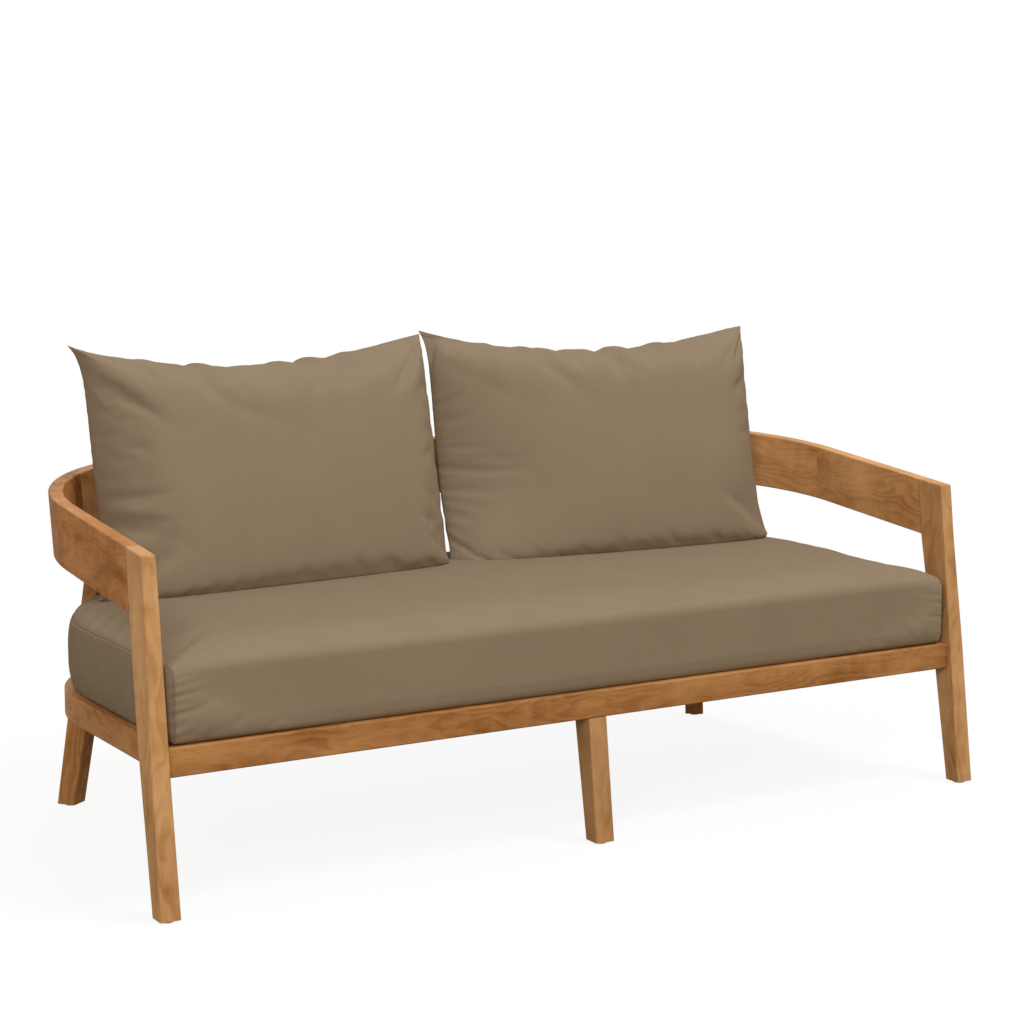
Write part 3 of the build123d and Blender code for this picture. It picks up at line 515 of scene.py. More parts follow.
# Joinery and hardware. Beech tenons inside the glue joints, steel bolts and washers with
# brass inserts at the rear legs, and a nylon glide nailed under each foot.
tenon_colours = ((0.68, 0.50, 0.32, 1), (0.56, 0.38, 0.22, 1), (0.36, 0.22, 0.12, 1))
tenon_cut = ((0, 0, 0.3), (1, 0, 0), (0, 0, 1), (0, 0.08, 1, 1))
brass_tint = (0.62, 0.44, 0.17, 1)
nylon_tint = (0.045, 0.04, 0.036, 1)
moulded = ((700, 3.0), (0.3, 0.0002), 0.72, 160.0)
for name in ("band_tenons", "frame_tenons", "leg_tenons"):
    finish_node(name, saw_teak(name, *tenon_cut, tenon_colours))
finish_node("rear_leg_bolts", zinc_steel)
finish_node("rear_leg_washers", zinc_steel)
finish_node("rear_leg_inserts", uneven_finish("brass", brass_tint, 0.35, turned, metallic=1.0))
finish_node("foot_glides", uneven_finish("nylon", nylon_tint, 0.5, moulded))

# Seat cushion. One boxed cushion of foam in a woven cover: the top panel rolls over the front
# edge and down to the rail, and a plain seam joins it to the border round the sides and back.
fabric_light = (0.308, 0.228, 0.148, 1)
fabric_dark = (0.219, 0.159, 0.099, 1)
fabric_bump = (0.5, 0.0003)
fabric_sheen = {
    "Specular IOR Level": 0.02,
    "Sheen Weight": 0.02,
    "Sheen Roughness": 0.5,
    "Sheen Tint": (0.85, 0.75, 0.60, 1),
}
thread_pitch = 0.0016
thread_length_tone = (640.0, 30.0)
seat_side = 0.8335
seat_front = -0.362
seat_rear = 0.374
seat_rear_round = 0.326
corner_x, corner_y = seat_side - seat_rear_round, seat_rear - seat_rear_round
seat_bottom = 0.2813
seat_seam = 0.4123
seat_crown = 0.028
seat_crown_run = 0.14
seat_draw = 0.009
seam_draw = 0.0054
roll_start = -0.336
roll_bottom = 0.402
roll_bottom_side = 0.392
corner_seam_inset = 0.003
face_tuck = ((0, 0.75, 0.92, 1), (0, 0.02, 0.35, 1))
border_bulge = ((0, 0.1, 0.35, 0.65, 0.9, 1), (1, 0.3, 0, 0, 0.25, 0.6))
border_blend = 10
top_rows = 64
straight_rows = 37
roll_rows = 12
face_rows = 20
seat_columns = 168
seat_ease = 0.008
seat_most = 0.004
seat_seam_sink = 0.0032
fill_frames = 20
filling = {
    "quality": 4,
    "mass": 0.25,
    "tension_stiffness": 12,
    "compression_stiffness": 12,
    "shear_stiffness": 4,
    "bending_stiffness": 0.4,
    "use_pressure": True,
    "uniform_pressure_force": 4.0,
    "vertex_group_mass": "seams",
}
# Height, length and rise of the puckers at the front corners, and the drop, width and strength
# of the two folds in each. The slack folds of the top panel each have a line of points, a width,
# a height, and the share of it at the far end. Sizes are in millimetres.
corner_puckers = (
    (388, 60, 1.6), (372, 85, 2.2), (357, 65, 1.8), (343, 70, 2.4), (322, 40, 1.3), (302, 45, 1.8),
)
pucker_pair = ((0, 4.2, 1.4), (7.5, 3.8, -1.1))
pucker_climb = 0.16
pucker_shares = ((-1, 1.0), (1, 0.55))
seat_slack = (
    ((-815, -345, -740, -285, -640, -250), 20, 2.8, 0.1),
    ((-818, -300, -760, -225), 14, -2.2, 0.1),
    ((-815, -330, -700, -335), 12, -1.6, 0),
    ((815, -345, 750, -295, 680, -270), 18, 2.2, 0.1),
    ((818, -290, 770, -220), 14, -1.8, 0.1),
    ((-450, -300, -150, -270), 50, 2, 0.3),
    ((100, -290, 450, -300), 50, -1.8, 0.3),
    ((-620, -80, -380, -160), 50, -2.4, 0.3),
    ((300, -100, 620, -160), 50, 2, 0.3),
)


def add_piece(name, mesh, finish):
    """Piece of a mesh and its finish."""
    mesh.materials.append(finish)
    return linked(name, mesh)


def make_plain_weave():
    """Group: a plain weave of uneven threads on a piece's own UV map, in metres."""
    group, given = node_group(
        "plain_weave",
        "ShaderNodeTree",
        (
            ("Cloth", "Vector", (0, 0, 0)),
            ("Thread pitch", "Float", thread_pitch),
            ("Light thread", "Color", fabric_light),
            ("Dark thread", "Color", fabric_dark),
        ),
        surface_outputs,
    )
    calc = partial(math_node, group)
    output = partial(output_of, group)
    cloth = add_node(group, "ShaderNodeSeparateXYZ", {0: given["Cloth"]}).outputs
    threads = [calc("DIVIDE", cloth[axis], given["Thread pitch"]) for axis in (0, 1)]
    waves = [calc("SINE", calc("MULTIPLY", thread, math.pi)) for thread in threads]
    warp_hill, weft_hill = (calc("ABSOLUTE", wave) for wave in waves)
    on_top = map_range(group, calc("MULTIPLY", *waves), -0.15, 0.15, 0.0, 1.0)
    hill = output("ShaderNodeMix", {0: on_top, 2: warp_hill, 3: weft_hill})

    def thread_noise(along, across):
        stretched = vector_node(group, "MULTIPLY", given["Cloth"], (along, across, 1.0))
        return noise_node(group, stretched, 1.0)["Fac"]

    warp_tone = thread_noise(*thread_length_tone)
    weft_tone = thread_noise(*reversed(thread_length_tone))
    tone = output("ShaderNodeMix", {0: on_top, 2: warp_tone, 3: weft_tone})
    cloudy = calc("MULTIPLY_ADD", thread_noise(7.0, 7.0), 0.35, -0.2)
    tone = calc("SUBTRACT", calc("MULTIPLY_ADD", tone, 0.9, cloudy), 0.08)
    # The colour is lighter where the threads rise and darker in the hollows between them: painted shade in
    # the weave.
    tone = calc("MULTIPLY_ADD", hill, 0.22, tone, clamp=True)
    shades = {0: tone, 6: given["Dark thread"], 7: given["Light thread"]}
    colour = output("ShaderNodeMix", shades, 2, data_type="RGBA")
    roughness = calc("MULTIPLY_ADD", tone, -0.1, 0.92)
    add_node(group, "NodeGroupOutput", {"Colour": colour, "Roughness": roughness, "Height": hill})
    return group


plain_weave = make_plain_weave()


def cover_cloth(name):
    """Woven cover fabric, with its weave on the piece's UV map."""
    finish = bpy.data.materials.new(name)
    tree = node_tree(finish)
    cloth = output_of(tree, "ShaderNodeUVMap", uv_map="cloth")
    weave = add_node(tree, "ShaderNodeGroup", {"Cloth": cloth}, node_tree=plain_weave)
    return finish_surface(finish, weave.outputs, fabric_bump, fabric_sheen)


def sew(name, *panels):
    """A mesh of cloth panels, sewn where their points meet. Each is a grid of points with its
    own UV, and is turned over or not."""
    points, faces, cloth = [], [], []
    for grid, lengths, turned in panels:
        numbers = np.arange(grid[..., 0].size).reshape(grid.shape[:2])
        corners = (numbers[:-1, :-1], numbers[:-1, 1:], numbers[1:, 1:], numbers[1:, :-1])
        rings = np.stack(corners, axis=2).reshape(-1, 4)[:, :: -1 if turned else 1]
        faces.extend((rings + len(points)).tolist())
        cloth.extend(lengths.reshape(-1, 2)[rings.ravel()])
        points.extend(grid.reshape(-1, 3))
    mesh = plain_mesh(name, points, faces=faces)
    layer = mesh.uv_layers.new(name="cloth")
    layer.data.foreach_set("uv", np.asarray(cloth, float).reshape(-1))
    shape = bmesh.new()
    shape.from_mesh(mesh)
    bmesh.ops.remove_doubles(shape, verts=shape.verts, dist=0.00002)
    bmesh.ops.recalc_face_normals(shape, faces=shape.faces)
    for face in shape.faces:
        face.smooth = True
    return mesh_of(shape, mesh)


def cloth_lengths(points):
    """UV of a grid of points in metres, measured along its rows and columns from its middle."""
    lengths = []
    for axis in (1, 0):
        steps = np.linalg.norm(np.diff(points, axis=axis), axis=2)
        start = np.zeros_like(np.take(steps, [0], axis=axis))
        reach = np.concatenate((start, np.cumsum(steps, axis=axis)), axis=axis)
        lengths.append(reach - np.take(reach, [reach.shape[axis] // 2], axis=axis))
    return np.stack(lengths, axis=2)


def closing_up(steps, share):
    """Places from -1 to 1 that lie closer together towards both ends."""
    even = np.linspace(-1, 1, steps + 1)
    return np.sign(even) * ((1 - share) * np.abs(even) + share * np.sin(np.abs(even) * math.pi / 2))


def fold_height(x, y, folds):
    """Height of a table of folds at places on a panel."""
    height = np.zeros_like(x)
    for line, width, rise, far_share in folds:
        line = np.reshape(line, (-1, 2)) / 1000
        lengths = np.linalg.norm(np.diff(line, axis=0), axis=1)
        starts = np.concatenate(([0], np.cumsum(lengths)))
        nearest = np.full_like(x, 1e9)
        along = np.zeros_like(x)
        for place, length in enumerate(lengths):
            way = (line[place + 1] - line[place]) / length
            reach_x, reach_y = x - line[place][0], y - line[place][1]
            share = np.clip(reach_x * way[0] + reach_y * way[1], 0, length)
            gap = np.hypot(reach_x - share * way[0], reach_y - share * way[1])
            along = np.where(gap < nearest, starts[place] + share, along)
            nearest = np.minimum(gap, nearest)
        fade = 1 - (1 - far_share) * along / starts[-1]
        height += rise / 1000 * fade * np.exp(-((nearest / (width / 1000)) ** 2))
    return height


def swell(distance):
    """Rise of a stuffed panel away from its seam: steep at first, then easing off."""
    share = np.clip(distance / seat_crown_run, 0, 1)
    return 0.5 * (1 - (1 - share) ** 6) + 0.5 * (1 - (1 - share) ** 2)


def seat_half_width(y, draw):
    """Half the width of the seat cushion at a place from front to back."""
    along = np.clip(y - corner_y, 0, None)
    round_reach = np.sqrt(np.clip((seat_rear_round - draw) ** 2 - along**2, 0, None))
    return np.where(along > 0, corner_x + round_reach, seat_side - draw)


def seam_distance(x, y):
    """Distance from a place on the seat's top panel to the nearest seam at its sides or back."""
    side = seat_side - seam_draw - np.abs(x)
    back = seat_rear - seam_draw - y
    beyond_x, beyond_y = np.abs(x) - corner_x, y - corner_y
    corner = seat_rear_round - seam_draw - np.hypot(np.clip(beyond_x, 0, None), np.clip(beyond_y, 0, None))
    return np.where((beyond_x > 0) & (beyond_y > 0), corner, np.minimum(side, back))


def seat_roll_profiles():
    """Side view of the roll over the front edge, in the middle and along the side seam."""
    turn = np.linspace(0, math.pi / 2, 60)
    middle_height = seat_seam + seat_crown * swell(roll_start - seat_front)
    profiles = []
    for front, height, bottom, power in (
        (seat_front, middle_height, roll_bottom, 2.1),
        (seat_front + seam_draw * 0.4, seat_seam, roll_bottom_side, 2.6),
    ):
        y = roll_start - (roll_start - front) * np.sin(turn) ** (2 / power)
        z = bottom + (height - bottom) * np.cos(turn) ** (2 / power)
        reach = np.concatenate(([0], np.cumsum(np.hypot(np.diff(y), np.diff(z)))))
        evenly = np.linspace(0, reach[-1], roll_rows + 1)
        profiles.append(np.stack([np.interp(evenly, reach, y), np.interp(evenly, reach, z)], axis=1))
    return profiles


def seat_folds(points):
    """Puckers along the upright seams at the front corners, and slack in the top panel."""
    x, y, z = points[..., 0], points[..., 1], points[..., 2]
    edge = 1000 * (seat_side - seam_draw - corner_seam_inset)
    puckers = []
    for hand, share in pucker_shares:
        for height, length, rise in corner_puckers:
            for drop, width, strength in pucker_pair:
                end = (hand * (edge - length), height + pucker_climb * length - drop)
                line = (hand * edge, height - drop, *end)
                puckers.append((line, width, strength * rise * share, 0))
    on_front = np.clip((seat_front + 0.02 - y) / 0.02, 0, 1) * np.clip((0.41 - z) / 0.015, 0, 1)
    points[..., 1] = y - fold_height(x, z, puckers) * on_front
    on_top = np.clip((z - 0.412) / 0.012, 0, 1)
    points[..., 2] = z + fold_height(x, y, seat_slack) * on_top
    return points


def make_seat_cover():
    """Top panel with its roll, border and bottom panel of the seat cushion."""
    share = closing_up(seat_columns, 0.45)
    rear_edge = seat_rear - seam_draw
    straight = np.linspace(roll_start, corner_y, straight_rows + 1)[:-1]
    round_share = np.linspace(0, 1, top_rows - straight_rows + 1)
    bent = corner_y + (rear_edge - corner_y) * (1 - (1 - round_share) ** 1.6)
    top_y = np.concatenate((straight, bent))[::-1]
    grid_y = np.repeat(top_y[:, None], seat_columns + 1, axis=1)
    grid_x = seat_half_width(top_y, seam_draw)[:, None] * share
    seam_swell = swell(seam_distance(grid_x, grid_y))
    top_z = seat_seam + seat_crown * seam_swell * swell(grid_y - seat_front)
    top = np.stack([grid_x, grid_y, top_z], axis=2)
    middle_roll, side_roll = seat_roll_profiles()
    rolls = []
    for row in range(1, roll_rows + 1):
        place = side_roll[row] + (middle_roll[row] - side_roll[row]) * seam_swell[-1][:, None]
        inset = corner_seam_inset * math.sin(row / roll_rows * math.pi / 2)
        rolls.append(np.column_stack((grid_x[-1] * (1 - inset / seat_side), place)))
    faces = []
    for row in range(1, face_rows + 1):
        down = row / face_rows
        point = rolls[-1].copy()
        point[:, 1] += (seat_front + seat_draw - point[:, 1]) * np.interp(down, *face_tuck)
        point[:, 2] += (seat_bottom - point[:, 2]) * down
        faces.append(point)
    panel = seat_folds(np.concatenate((top, rolls, faces)))

    bottom_y = np.interp(top_y, (roll_start, corner_y), (seat_front + seat_draw, corner_y))
    rear_share = (seat_rear - seat_draw - corner_y) / (rear_edge - corner_y)
    bottom_y = np.where(top_y > corner_y, corner_y + (top_y - corner_y) * rear_share, bottom_y)
    bottom_x = seat_half_width(bottom_y, seat_draw)[:, None] * share
    base_y = np.repeat(bottom_y[:, None], seat_columns + 1, axis=1)
    base = np.stack([bottom_x, base_y, np.full_like(bottom_x, seat_bottom)], axis=2)
    base[-1] = panel[-1]

    lows, highs = (np.concatenate((grid[::-1, 0], grid[0, 1:-1], grid[:, -1])) for grid in (base, top))
    height_share = np.linspace(0, 1, roll_rows + face_rows + 1)[:, None, None]
    bulge = seat_draw * (1 - np.interp(height_share, *border_bulge))
    bulge = bulge - (seat_draw - seam_draw) * height_share
    x, y = lows[:, 0], lows[:, 1]
    out_x = np.sign(x) * np.clip(np.abs(x) - corner_x, 0, None)
    out = np.stack([out_x, np.clip(y - corner_y, 0, None)], axis=1)
    out = out / np.maximum(np.linalg.norm(out, axis=1), 1e-6)[:, None]
    border = lows + (highs - lows) * height_share
    border[:, :, :2] += out * bulge
    for end, way in ((0, 1), (-1, -1)):
        straight_end = border[:, end].copy()
        border[:, end] = panel[len(top_y) - 1 :, end][::-1]
        shift = (border[:, end] - straight_end)[:, 1:]
        for step in range(1, border_blend):
            border[:, end + way * step, 1:] += shift * (1 - step / border_blend) ** 2
    return sew(
        "seat_cushion_cover",
        (panel, cloth_lengths(panel), False),
        (base, base[:, :, :2], True),
        (border, cloth_lengths(border), False),
    )


def seam_points(mesh):
    """Numbers of the points where two panels are sewn together."""
    panel_of = {}
    seam = set()
    for face in mesh.polygons:
        for corner in face.loop_indices:
            point = mesh.loops[corner].vertex_index
            place = mesh.uv_layers["cloth"].data[corner].uv
            first = panel_of.setdefault(point, place.copy())
            if (first - place).length > 0.0001:
                seam.add(point)
    return sorted(seam)


def places_of(mesh):
    """Places of a mesh's points."""
    places = np.empty(len(mesh.vertices) * 3)
    mesh.vertices.foreach_get("co", places)
    return places.reshape(-1, 3)


def subdivided(name, mesh):
    """A mesh with its surface subdivided, its modifier applied."""
    raw = linked(name + "_raw", mesh)
    finer = raw.modifiers.new("finer", "SUBSURF")
    set_up(finer, levels=1, render_levels=1, uv_smooth="PRESERVE_BOUNDARIES")
    return made_plain(name, raw)


def filled(name, mesh, ease, most, sink=0):
    """A cover blown up a little by a cloth simulation that holds its seams, then subdivided. Its
    seams sink by a given depth."""
    seams = seam_points(mesh)
    soft = linked(name + "_soft", mesh)
    soft.vertex_groups.new(name="seams").add(seams, 1.0, "REPLACE")
    cloth = soft.modifiers.new("filling", "CLOTH")
    set_up(cloth.settings, **filling, shrink_min=-ease)
    cloth.settings.effector_weights.gravity = 0
    cloth.collision_settings.use_collision = False
    for number in range(1, fill_frames + 1):
        bpy.context.scene.frame_set(number)
    before = places_of(mesh)
    moved = places_of(soft.evaluated_get(bpy.context.evaluated_depsgraph_get()).data) - before
    far = np.linalg.norm(moved, axis=1)[:, None]
    moved = moved * (most * np.tanh(far / most) / np.maximum(far, 1e-9))
    soft.modifiers.remove(cloth)
    bpy.data.objects.remove(soft)
    mesh.vertices.foreach_set("co", (before + moved).reshape(-1))
    bpy.context.scene.frame_set(1)
    if sink:
        points = [mesh.vertices[number] for number in seams]
        for point, normal in [(point, point.normal.copy()) for point in points]:
            point.co -= normal * sink
    return subdivided(name, mesh)


seat_sewn = make_seat_cover()
seam_order = {number: place for place, number in enumerate(seam_points(seat_sewn))}
seam_places = [seat_sewn.vertices[number].co.copy() for number in seam_order]
seam_edges = [
    [seam_order[end] for end in edge.vertices]
    for edge in seat_sewn.edges
    if all(end in seam_order for end in edge.vertices)
]
seat_cloth = cover_cloth("cover_cloth")
seat_mesh = filled("seat_cushion_cover", seat_sewn, seat_ease, seat_most, seat_seam_sink)
seat_cover = add_piece("seat_cushion_cover", seat_mesh, seat_cloth)
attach(seat_cover, "seat_cushion")
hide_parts("seat_cushion")

# Seams and zip of the seat cushion. A row of thread lies in the seam round the top and down the
# front corners, and a nylon zip with a steel slider closes the border at the back.
stitch_pitch = 0.0042
stitch_length = 0.0031
thread_thickness = 0.0012
thread_proud = 0.3
thread_start = seat_bottom + 0.004
thread_colour = (0.095, 0.066, 0.038, 1)
twisted = ((1400, 2.0), (0.4, 0.0001), 0.6, None)
zip_colour = (0.085, 0.062, 0.038, 1)
zip_half_length = 0.46
zip_height = 0.347
zip_tooth_pitch = 0.0026
zip_tooth_width = 0.0052
zip_tooth_lift = 0.001
zip_tape_half_width = 0.015
zip_tape_end = 0.012
zip_tape_half = (
    (-1, -0.0006), (-0.93, 0.0007), (-0.6, 0.0011), (-0.3, 0.0014), (-0.2, 0.0012), (-0.16, -0.0002),
)
zip_slider_end = 0.004
# Middle, size and rounding of the slider's parts: its two plates, its bridge and its pull.
zip_slider_parts = (
    ((0, 0.0042, 0), (0.0115, 0.0016, 0.0090), 0.0006),
    ((0, 0.0012, 0), (0.0115, 0.0022, 0.0098), 0.0006),
    ((0.001, 0.0061, 0), (0.0060, 0.0026, 0.0022), 0.0007),
    ((0.001, 0.0068, -0.0150), (0.0072, 0.0013, 0.0270), 0.0006),
)
seat_surface = BVHTree.FromPolygons(
    [vertex.co for vertex in seat_mesh.vertices], [polygon.vertices for polygon in seat_mesh.polygons]
)


def make_beads_on_path():
    """Geometry Nodes: beads laid end to end along a path, such as stitches or the teeth of a zip."""
    group, given = node_group(
        "beads_on_path",
        "GeometryNodeTree",
        (("Path", "Geometry"), ("Pitch", "Float"), ("Bead size", "Vector"), ("Finish", "Material")),
        (("Beads", "Geometry"),),
    )
    output = partial(output_of, group)
    line = output("GeometryNodeMeshToCurve", {"Mesh": given["Path"]})
    spaced = output("GeometryNodeResampleCurve", {"Curve": line, "Length": given["Pitch"]}, mode="LENGTH")
    ball = output("GeometryNodeMeshUVSphere", {"Segments": 8, "Rings": 5, "Radius": 0.5}, "Mesh")
    bead = output("GeometryNodeTransform", {"Geometry": ball, "Scale": given["Bead size"]})
    smooth = output("GeometryNodeSetShadeSmooth", {"Geometry": bead})
    tangent = output("GeometryNodeInputTangent")
    turned = output("FunctionNodeAlignRotationToVector", {"Vector": tangent}, axis="Z")
    laid = {"Points": spaced, "Instance": smooth, "Rotation": turned}
    return finish_geometry(group, output("GeometryNodeInstanceOnPoints", laid), given["Finish"], "Beads")


beads_on_path = make_beads_on_path()
thread_places = []
for seam_place in seam_places:
    place, normal, _, _ = seat_surface.find_nearest(seam_place)
    thread_places.append(place + normal * thread_thickness * thread_proud)
thread_edges = [edge for edge in seam_edges if max(thread_places[end].z for end in edge) > thread_start]
thread_path = plain_mesh("seat_thread_path", thread_places, thread_edges)
stitch_sizes = {
    "Pitch": stitch_pitch,
    "Bead size": (thread_thickness, thread_thickness, stitch_length),
    "Finish": uneven_finish("thread", thread_colour, 0.8, twisted),
}
stitches = grown_piece("seat_cushion_stitches", beads_on_path, thread_path, stitch_sizes)
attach(stitches, "seat_cushion")


def on_rear_border(x, z, lift):
    """Place on the back of the seat cushion, lifted off its cloth."""
    place, normal, _, _ = seat_surface.ray_cast(Vector((x, 0.6, z)), Vector((0, -1, 0)))
    return place + normal * lift


zip_tape_profile = (*zip_tape_half, *((-share, lift) for share, lift in reversed(zip_tape_half)))
tape_reach = zip_half_length + zip_tape_end
tape_columns = np.linspace(-tape_reach, tape_reach, 180)
tape_grid = np.array([
    [on_rear_border(x, zip_height + share * zip_tape_half_width, lift) for x in tape_columns]
    for share, lift in zip_tape_profile
])
tape_sewn = sew("zip_tape", (tape_grid, cloth_lengths(tape_grid), False))
zip_tape = add_piece("seat_cushion_zip_tape", subdivided("seat_cushion_zip_tape", tape_sewn), seat_cloth)
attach(zip_tape, "seat_cushion")

tooth_columns = np.linspace(-zip_half_length, zip_half_length, 240)
tooth_places = [on_rear_border(x, zip_height, zip_tooth_lift) for x in tooth_columns]
tooth_edges = [(step, step + 1) for step in range(len(tooth_places) - 1)]
tooth_sizes = {
    "Pitch": zip_tooth_pitch,
    "Bead size": (zip_tooth_width, zip_tooth_width, zip_tooth_pitch * 0.7),
    "Finish": uneven_finish("zip_nylon", zip_colour, 0.45, twisted),
}
tooth_path = plain_mesh("zip_tooth_path", tooth_places, tooth_edges)
zip_teeth = grown_piece("seat_cushion_zip_teeth", beads_on_path, tooth_path, tooth_sizes)
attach(zip_teeth, "seat_cushion")

slider_foot = on_rear_border(zip_slider_end - zip_half_length, zip_height, 0)
slider_shape = bmesh.new()
for middle, size, rounding in zip_slider_parts:
    corners = bmesh.ops.create_cube(slider_shape, size=1)["verts"]
    for corner in corners:
        reach = Vector(part * length for part, length in zip(corner.co, size))
        corner.co = slider_foot + Vector(middle) + reach
    edges = list({line for corner in corners for line in corner.link_edges})
    bmesh.ops.bevel(slider_shape, geom=edges, offset=rounding, segments=3, affect="EDGES", profile=0.5)
slider_mesh = mesh_of(slider_shape, bpy.data.meshes.new("zip_slider"))
zip_slider = add_piece("seat_cushion_zip_slider", slider_mesh, zinc_steel)
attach(zip_slider, "seat_cushion")

# Back cushions. Two knife-edge cushions of loose fibre: a front and a back panel sewn together
# round the edge, so the corners stand out as ears and the edges dip between them.
back_half_width = 0.386
back_half_height = 0.2325
back_front_depth = 0.118
back_rear_depth = 0.100
back_lean = math.radians(11)
back_turn = math.radians(4.6)
back_top_dip = 0.050
back_bottom_dip = 0.007
back_foot = Vector((0.3878, 0.1973, 0.4406))
seat_top = 0.4405
back_ease = 0.02
back_most = 0.008
back_columns = 110
back_rows = 74
front_softness = 0.55
front_powers = (7, 30)
rear_softness = 0.75
rear_powers = (3.5, 3.5, 4, 7)
scallop_width = 0.017
ear_power = 9
foot_ahead = (0.042, 0.066)
foot_sag = 0.010
foot_press = 0.011
foot_press_reach = 0.15
crease = (0.021, 0.002, 0.008)
seat_bite = 0.003
outer_bite = 0.005


def make_back_cover(name, side, fullness, draws, ears, scallops, folds):
    """Front and back panels of one back cushion: side is 1 on the right, -1 on the left. Its
    folds and scallops lie at distances outwards and upwards from its middle, in millimetres."""
    out = Vector((-math.sin(back_turn), -math.cos(back_turn), 0))
    width_line = Vector((math.cos(back_turn), -math.sin(back_turn), 0))
    front_line = out * math.cos(back_lean) + Vector((0, 0, math.sin(back_lean)))
    rise_line = Vector((0, 0, math.cos(back_lean))) - out * math.sin(back_lean)
    middle = back_foot + rise_line * back_half_height
    u, v = np.meshgrid(closing_up(back_columns, 0.5), closing_up(back_rows, 0.5))
    outward, inward, upward = np.clip(u, 0, 1), np.clip(-u, 0, 1), np.clip(v, 0, 1)
    outer_draw, inner_draw = draws
    outer_power, inner_power, inner_slack, inner_edge = fullness
    narrow = 1 - np.abs(v) ** np.where(v > 0, 9, 11)
    side_draw = np.where(u > 0, outer_draw, inner_draw) * narrow
    edge_dip = np.where(v > 0, back_top_dip, back_bottom_dip) * (1 - np.abs(u) ** 2)
    x = u * back_half_width - np.sign(u) * side_draw * np.abs(u) ** 3
    y = v * back_half_height - np.sign(v) * edge_dip * np.abs(v) ** 3
    scallop = sum(
        rise * np.exp(-(((x - place) / scallop_width) ** 2)) for place, rise in np.array(scallops) / 1000
    )
    y = y + scallop * upward**8
    low = np.clip((-v - 0.15) / 0.85, 0, 1)
    forward = low**2 * (foot_ahead[0] + foot_ahead[1] * (1 - u**6))
    for (across, up, ahead), corner in zip(ears, (outward, inward)):
        tip = (corner * upward) ** ear_power
        x = x + np.sign(u) * across * tip
        y = y + up * tip
        forward = forward + ahead * tip
    pressed = 1 - outward**10
    panels = []
    for depth, powers, edge in (
        (back_front_depth, (outer_power, inner_power, *front_powers), front_softness + inner_edge * inward),
        (-back_rear_depth, rear_powers, rear_softness),
    ):
        across = 1 - np.abs(u) ** np.where(u > 0, powers[0], powers[1])
        up = 1 - np.abs(v) ** np.where(v > 0, powers[2], powers[3])
        full = np.clip(across * up, 0, 1) ** edge
        reach = depth * full * (1 - 0.10 * u**2 - 0.07 * v**2 - 0.10 * (u * v) ** 2 - 0.05 * v)
        if depth > 0:
            relief = fold_height(x, y, folds) + scallop * 0.8 * np.clip((v - 0.35) / 0.65, 0, 1)
            reach = reach * (1 - inner_slack * inward**2) + relief * np.minimum(1, full * 1.6)
        ahead = reach + forward * (1 - full)
        points = np.array(middle)
        for line, share in ((width_line, x), (rise_line, y), (front_line, ahead)):
            points = points + share[:, :, None] * np.array(line)
        points[:, :, 2] -= np.clip(ahead, 0, None) * math.sin(back_lean) * low**2
        crease_gap = points[:, :, 2] - seat_top - crease[1]
        points[:, :, 1] += crease[0] * low * np.exp(-((crease_gap / crease[2]) ** 2))
        sunk = foot_sag * full + foot_press * pressed
        points[:, :, 2] -= sunk * np.exp(-(((v + 1) / foot_press_reach) ** 2))
        lowest = seat_top - seat_bite - foot_press * pressed - outer_bite * outward**2
        points[:, :, 2] = np.maximum(points[:, :, 2], lowest)
        points[:, :, 0] *= side
        panels.append((points, cloth_lengths(points) + (0, 0 if depth > 0 else 2), depth < 0))
    return filled(name, sew(name, *panels), back_ease, back_most)


left_scallops = (
    (154, -4), (120, 6), (66, -4), (-50, 5), (-83, -5), (-120, 6), (-160, -4), (-210, 3), (240, 3),
)
left_folds = (
    ((372, 205, 332, 150, 285, 107, 215, 55), 11, -3, 0.25),
    ((350, 205, 290, 150, 200, 85), 22, 4, 0.2),
    ((98, 172, 84, 132, 81, 70), 10, -5.5, 0.15),
    ((70, 170, 55, 125, 50, 80), 13, 4, 0.1),
    ((175, 150, 100, 93, -20, 50), 13, -4.2, 0.2),
    ((10, 150, -70, 95), 15, -3, 0.1),
    ((-120, 160, -160, 110), 14, -2.8, 0.1),
    ((378, -30, 330, -38, 285, -40), 7, 4, 0),
    ((378, -49, 310, -58, 235, -60), 7, -4.5, 0),
    ((378, -70, 320, -80, 250, -96), 9, 6, 0.1),
    ((378, -94, 300, -116, 230, -150), 13, -8.5, 0.2),
    ((360, -125, 310, -142, 270, -168), 11, 5, 0.1),
    ((378, -150, 330, -160, 290, -182), 9, -5, 0.1),
    ((-372, 190, -300, 120, -240, 50), 22, 4.5, 0.1),
    ((-340, 195, -250, 130), 18, -3.5, 0.1),
    ((-384, -50, -345, -62), 8, 3.5, 0),
    ((-384, -100, -335, -115), 9, 4, 0),
    ((-384, -150, -340, -158), 8, 3.5, 0),
    ((-384, -125, -345, -137), 7, -3.5, 0),
    ((60, -30, -100, -70), 60, 3, 0.5),
)
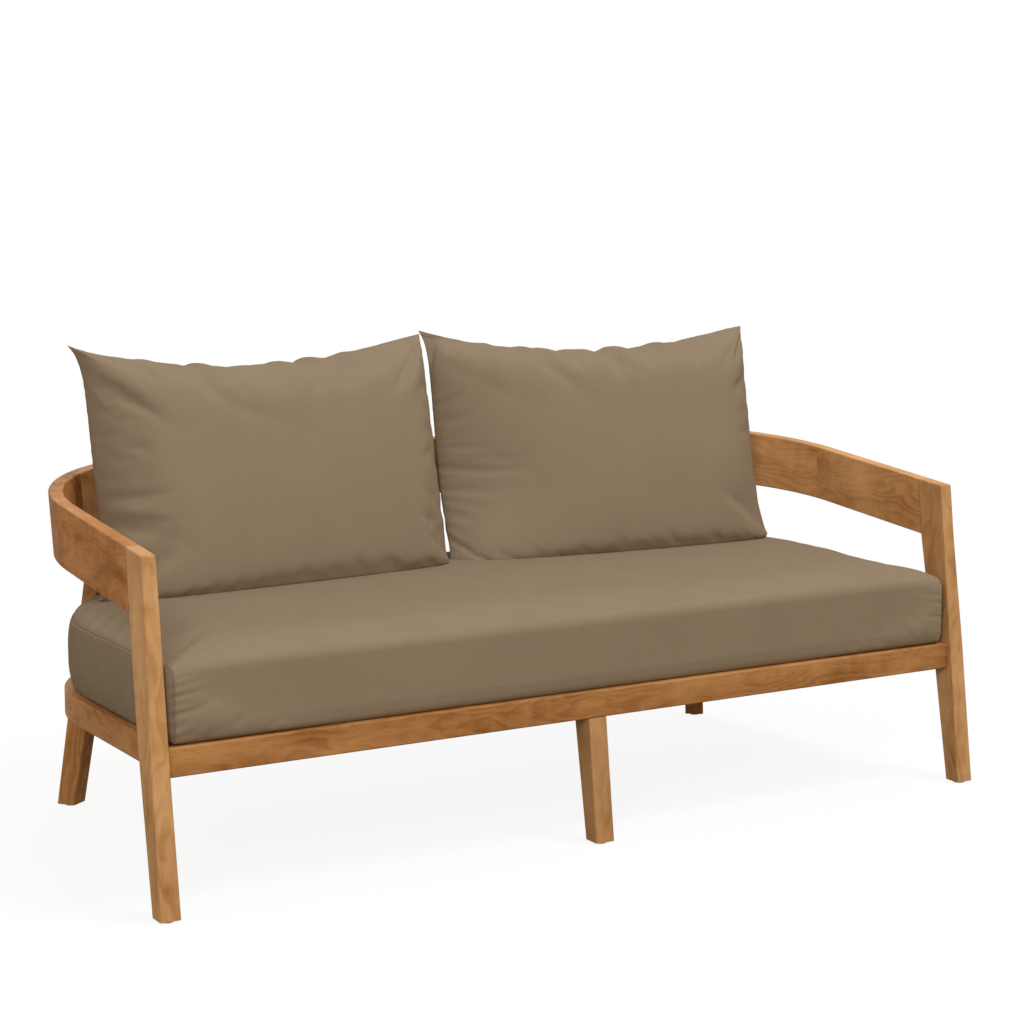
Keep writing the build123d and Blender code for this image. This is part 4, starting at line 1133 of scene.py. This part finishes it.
right_scallops = (
    (-250, 3), (-170, 4), (-100, -3), (-5, -7), (35, 6), (80, -4), (145, 5), (200, -3),
)
right_folds = (
    ((-375, 200, -330, 150, -270, 105, -180, 52), 12, -2.8, 0.25),
    ((-345, 200, -270, 150, -150, 85), 22, 3, 0.2),
    ((-165, 155, -120, 110, -85, 70), 11, -5.8, 0.15),
    ((-125, 160, -80, 115, -50, 80), 14, 4, 0.1),
    ((-10, 165, 30, 130, 62, 112), 11, -5, 0.1),
    ((30, 165, 75, 130), 14, 3.5, 0.1),
    ((-384, 55, -352, 48), 6, 3, 0),
    ((-384, 18, -350, 12), 7, 3.6, 0),
    ((-384, -8, -346, -20), 6, -3.4, 0),
    ((-384, -36, -325, -50), 8, 4.6, 0),
    ((-384, -66, -345, -74), 6, -3.8, 0),
    ((-384, -104, -330, -118), 8, 4.2, 0),
    ((-384, -131, -352, -140), 6, -3.4, 0),
    ((-384, -158, -345, -160), 7, 1.5, 0),
    ((-290, -20, -240, -60), 18, -1.5, 0.3),
    ((-260, -90, -200, -120), 20, -1, 0.3),
    ((375, 195, 310, 130, 240, 70), 22, 4.5, 0.1),
    ((378, -135, 330, -120), 10, 4, 0.1),
    ((378, -165, 320, -155), 9, -4, 0.1),
    ((60, -30, 200, -60), 60, 3, 0.5),
)
# Fullness at the outer and inner side with the inner side's slack and softer edge, how far the
# sides draw in, and how far the outer and inner ear stand out, up and forwards.
left_shape = ((4.5, 13, 0, 0), (0.036, 0.003), ((-0.008, 0.006, 0), (0.010, -0.004, 0.010)))
right_shape = ((8, 2.3, 0.12, 0.4), (0.026, 0.008), ((-0.008, -0.008, 0), (0.015, 0.004, 0.008)))
for hand, side, shape, scallops, folds in (
    ("left", -1, left_shape, left_scallops, left_folds),
    ("right", 1, right_shape, right_scallops, right_folds),
):
    back_mesh = make_back_cover(f"back_cushion_{hand}_cover", side, *shape, scallops, folds)
    back_cover = add_piece(f"back_cushion_{hand}_cover", back_mesh, cover_cloth(f"cover_cloth_{hand}"))
    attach(back_cover, f"back_cushion_{hand}")
    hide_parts(f"back_cushion_{hand}")
